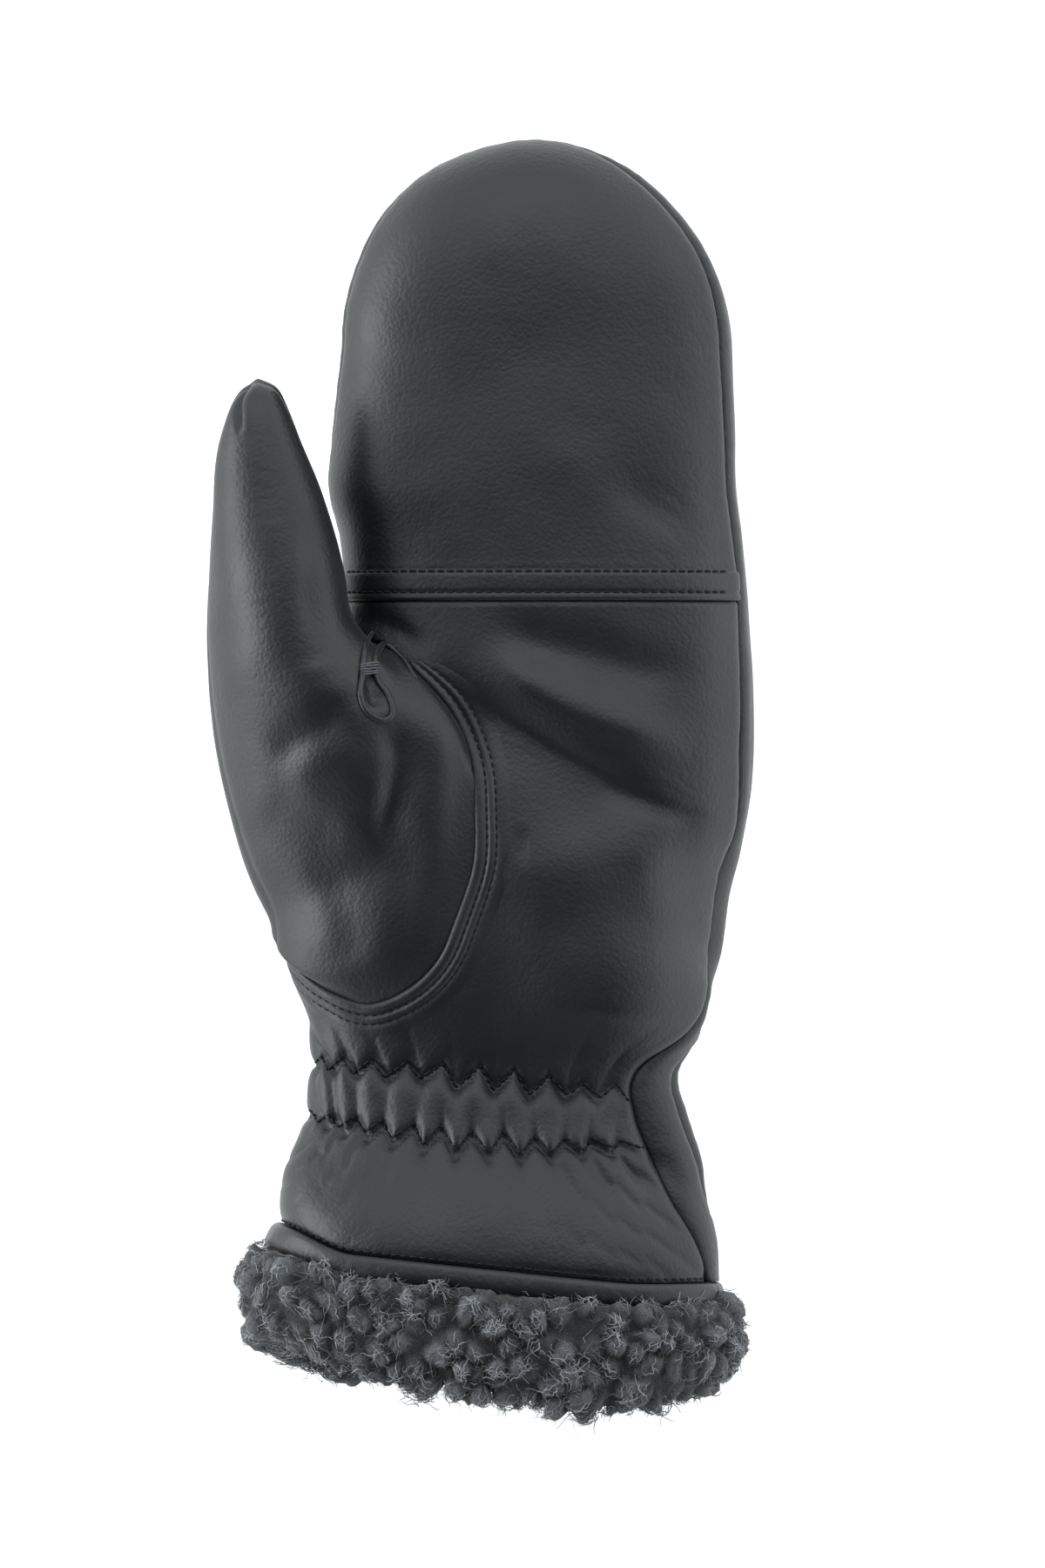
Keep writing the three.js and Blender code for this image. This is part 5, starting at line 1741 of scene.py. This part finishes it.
def table_top():
    """Opal acrylic over lamps, a light table: matt, even and bright."""
    material = new_material("opal_acrylic")
    where = node(material, "ShaderNodeTexCoord").outputs["Object"]
    frosting = node(material, "ShaderNodeTexNoise", {"Vector": where, "Scale": per_mm(1.2), "Detail": 3.0})
    bump = node(
        material,
        "ShaderNodeBump",
        {"Height": frosting.outputs["Fac"], "Strength": 0.03, "Distance": 0.0001},
    )
    skin = node(
        material,
        "ShaderNodeBsdfPrincipled",
        {
            "Base Color": linear("#f2f2f2"),
            "Roughness": 0.8,
            "Normal": bump.outputs[0],
            "Emission Color": (1, 1, 1, 1),
            "Emission Strength": 0.7,
        },
    )
    node(material, "ShaderNodeOutputMaterial", {"Surface": skin.outputs[0]})
    return material


# Building


def cut_hole(piece, points, faces):
    """Takes a closed shape, in mm, out of a piece."""
    mesh = bpy.data.meshes.new("hole")
    mesh.from_pydata((np.asarray(points) * MM).tolist(), [], faces)
    cutter = bpy.data.objects.new("hole", mesh)
    bpy.context.scene.collection.objects.link(cutter)
    cut = piece.modifiers.new("hole", "BOOLEAN")
    cut.operation, cut.solver, cut.object = "DIFFERENCE", "MANIFOLD", cutter
    bpy.context.view_layer.update()
    done = bpy.data.meshes.new_from_object(piece.evaluated_get(bpy.context.evaluated_depsgraph_get()))
    piece.modifiers.clear()
    piece.data = done
    done.shade_smooth()
    bpy.data.objects.remove(cutter)


def thumb_hole():
    """What the thumb's seam cuts out of the palm, as a closed shape through its leather."""
    turns = np.linspace(0, 360, THUMB_TURNS)[:-1]
    point, normal, _ = thumb_seam(turns)
    middle, up = point.mean(0), unit(normal.sum(0))
    points = np.concatenate([point + normal * 6, point - normal * 5, [middle + up * 30, middle - up * 6]])
    n = len(turns)
    faces = []
    for i in range(n):
        j = (i + 1) % n
        faces += [[i, j, 2 * n], [j + n, i + n, 2 * n + 1], [j, i, i + n, j + n]]
    return points, outward(points, faces)


palm_leather = lamb_leather("black_lamb_nappa", "#0a0b0c", "#121315", 0.46, 0.32)
back_leather = lamb_leather("black_lamb_nappa_back", "#0b0c0d", "#121315", 0.5, 0.35)
edge_leather = lamb_leather("black_lamb_nappa_edge", "#0c0d0e", "#151618", 0.43, 0.25)
black_thread = bonded_thread("black_bonded_thread", ("#050506", "#0f1011"))
grey_thread = bonded_thread("grey_bar_tack_thread", ("#3c3e42", "#6c6f74"))
# Its near-black colour is painted shade in the crevices; its grey is partly painted highlight on the tops.
wool_knit = wool_pile("wool_backing_painted_shade", "#040404", "#66696d")
# Wool fibres are about 0.03 mm thick, too fine to show, so each of these stands for a few. The last
# number is its radius.
# The three tones go to the fibres by how high they stand: the pale ones are partly painted highlight, and
# the charcoal ones low by the floor partly painted shade.
wool_tones = [
    ("wool_fibres_charcoal", sheep_wool("charcoal_wool", "#222326", "#3b3d40", 0.25), 0.1),
    ("wool_fibres_grey", sheep_wool("grey_wool", "#4a4c4f", "#6d7073", 0.3), 0.1),
    ("wool_fibres_pale", sheep_wool("pale_wool", "#7d7f82", "#aaadb0", 0.3), 0.085),
]

fingers = finger_panel(palm_leather)
heel = heel_panel(palm_leather)
cut_hole(heel, *thumb_hole())
back_panel(back_leather)
side_gusset(back_leather)
thumb_piece = thumb(palm_leather)
finger_tree, heel_tree = surface_tree(fingers), surface_tree(heel)
band, band_rows = seam_band(heel_tree, edge_leather)
all_trees = [finger_tree, heel_tree, surface_tree(thumb_piece), surface_tree(band)]
keyhole(all_trees, edge_leather, grey_thread)
cuff_binding(edge_leather)
wool_fibres(wool_backing(wool_knit), wool_tones)


def laid_row(name, path, tree, lift, **thread):
    """A row of stitches on a piece of leather, along a path seen from above."""
    line, ups = dropped(path, [tree], lift)
    mesh_piece(name, *stitches(line, ups, **thread), black_thread, "binding_leather", laid=True)


def thumb_rows():
    """The two rows along the folded edge round the thumb."""
    for number, (line, ups) in enumerate(band_rows):
        row = stitches(line, ups)
        mesh_piece(f"thumb_stitches_{number + 1}", *row, black_thread, "binding_leather")


def hem_rows():
    """The two rows that hold the turned hem, from one gusset seam to the other."""
    thread = dict(length=1.6, gap=0.45, radius=0.25, sink=-0.08)
    hem_y = FINGER_SEAM_ALONG * LEATHER_LENGTH + HEM_EDGE - CUFF_TO_ORIGIN
    for number, row in enumerate(HEM_ROWS):
        y = hem_y + row
        path = legs([(outline_left(y) + 0.7, y), (HEM_RIGHT, y)], 0.4)
        laid_row(f"hem_stitches_{number + 1}", path, finger_tree, 0.02, **thread)


def elastic_rows():
    """The two zigzag rows that hold the elastic under the wrist."""
    thread = dict(length=1.5, gap=0.3, radius=0.27, sink=-0.05)
    for number, upper in enumerate((True, False)):
        path = as_settled(legs(zigzag_row(upper), 0.35))
        laid_row(f"elastic_stitches_{number + 1}", path, heel_tree, 0.03, **thread)


def binding_row():
    """The row that holds the cuff's binding, just above it."""
    thread = dict(length=1.5, gap=0.5, radius=0.24, sink=-0.04)
    turns = np.linspace(6, 168, 500)
    edge = cuff_point(turns, turns * 0, turns * 0 - BINDING_ROW)
    laid_row("binding_stitches", as_settled(edge[:, :2]), heel_tree, 0.02, **thread)


thumb_rows()
hem_rows()
elastic_rows()
binding_row()


# Stage, light and camera

CAMERA_HEIGHT = 4.0  # in metres, as all that follows
PICTURE_HEIGHT = 0.3289  # of the view, at half the mitten's thickness
MIDDLE_HEIGHT = 0.025
CAMERA_RIGHT = -0.0009  # of the origin
SENSOR_HEIGHT = 36.0  # in mm
FLOOR_REACH = 3.0

floor_mesh = bpy.data.meshes.new("floor")
corners = [(FLOOR_REACH * x, FLOOR_REACH * y, 0) for x, y in ((-1, -1), (1, -1), (1, 1), (-1, 1))]
floor_mesh.from_pydata(corners, [], [(0, 1, 2, 3)])
floor_mesh.materials.append(table_top())
floor = bpy.data.objects.new("floor", floor_mesh)
bpy.context.scene.collection.objects.link(floor)


def softbox(name, place, aim, size, watts, tint=(1, 1, 1)):
    """A rectangular lamp turned to a place."""
    light = bpy.data.lights.new(name, "AREA")
    light.color = tint
    light.shape = "RECTANGLE"
    light.size, light.size_y = size
    light.energy = watts
    lamp = bpy.data.objects.new(name, light)
    lamp.location = place
    lamp.rotation_euler = (Vector(aim) - Vector(place)).to_track_quat("-Z", "Y").to_euler()
    bpy.context.scene.collection.objects.link(lamp)


softbox("softbox_far", (0.0, 1.15, 1.35), (0, 0, 0), (1.6, 1.0), 6, (0.84, 0.93, 1.0))
softbox("softbox_left", (-1.3, 0.1, 0.45), (0, 0, 0.02), (0.8, 0.5), 3)


AIR_COLOUR = (0.91, 0.965, 1.0, 1.0)  # linear, a slightly cool white


def studio_air():
    """White walls round a light table: bright by the table, dimmer above, darkest above the near side.
    The left wall is brighter than the right one."""
    world = bpy.data.worlds.new("studio")
    world.use_nodes = True
    way = node(world, "ShaderNodeTexCoord").outputs["Generated"]
    parts = node(world, "ShaderNodeSeparateXYZ", {"Vector": way}).outputs
    ceiling = node(world, "ShaderNodeMapRange", {"Value": parts["Y"], 1: -0.3, 2: 0.8, 3: 0.04, 4: 1.45})
    ceiling.interpolation_type = "SMOOTHSTEP"
    glow = node(
        world,
        "ShaderNodeMapRange",
        {"Value": parts["Z"], 1: 0.1, 2: 0.55, 3: 1.5, 4: ceiling.outputs[0]},
    )
    glow.interpolation_type = "SMOOTHSTEP"
    left = node(world, "ShaderNodeMapRange", {"Value": parts["X"], 1: -1.0, 2: -0.74, 3: 5.6, 4: 0.0})
    right = node(world, "ShaderNodeMapRange", {"Value": parts["X"], 1: 0.35, 2: 0.95, 3: 0.0, 4: 1.1})
    sides = node(world, "ShaderNodeMath", {0: left.outputs[0], 1: right.outputs[0]}, operation="ADD")
    air = node(world, "ShaderNodeMath", {0: glow.outputs[0], 1: sides.outputs[0]}, operation="ADD")
    background = world.node_tree.nodes["Background"]
    background.inputs["Color"].default_value = AIR_COLOUR
    world.node_tree.links.new(air.outputs[0], background.inputs["Strength"])
    return world


bpy.context.scene.world = studio_air()
bpy.context.scene.view_settings.view_transform = "Standard"

camera_data = bpy.data.cameras.new("camera")
camera_data.sensor_fit = "VERTICAL"
camera_data.sensor_height = SENSOR_HEIGHT
camera_data.lens = SENSOR_HEIGHT * (CAMERA_HEIGHT - MIDDLE_HEIGHT) / PICTURE_HEIGHT
camera = bpy.data.objects.new("camera", camera_data)
camera.location = (CAMERA_RIGHT, 0, CAMERA_HEIGHT)
bpy.context.scene.collection.objects.link(camera)
bpy.context.scene.camera = camera
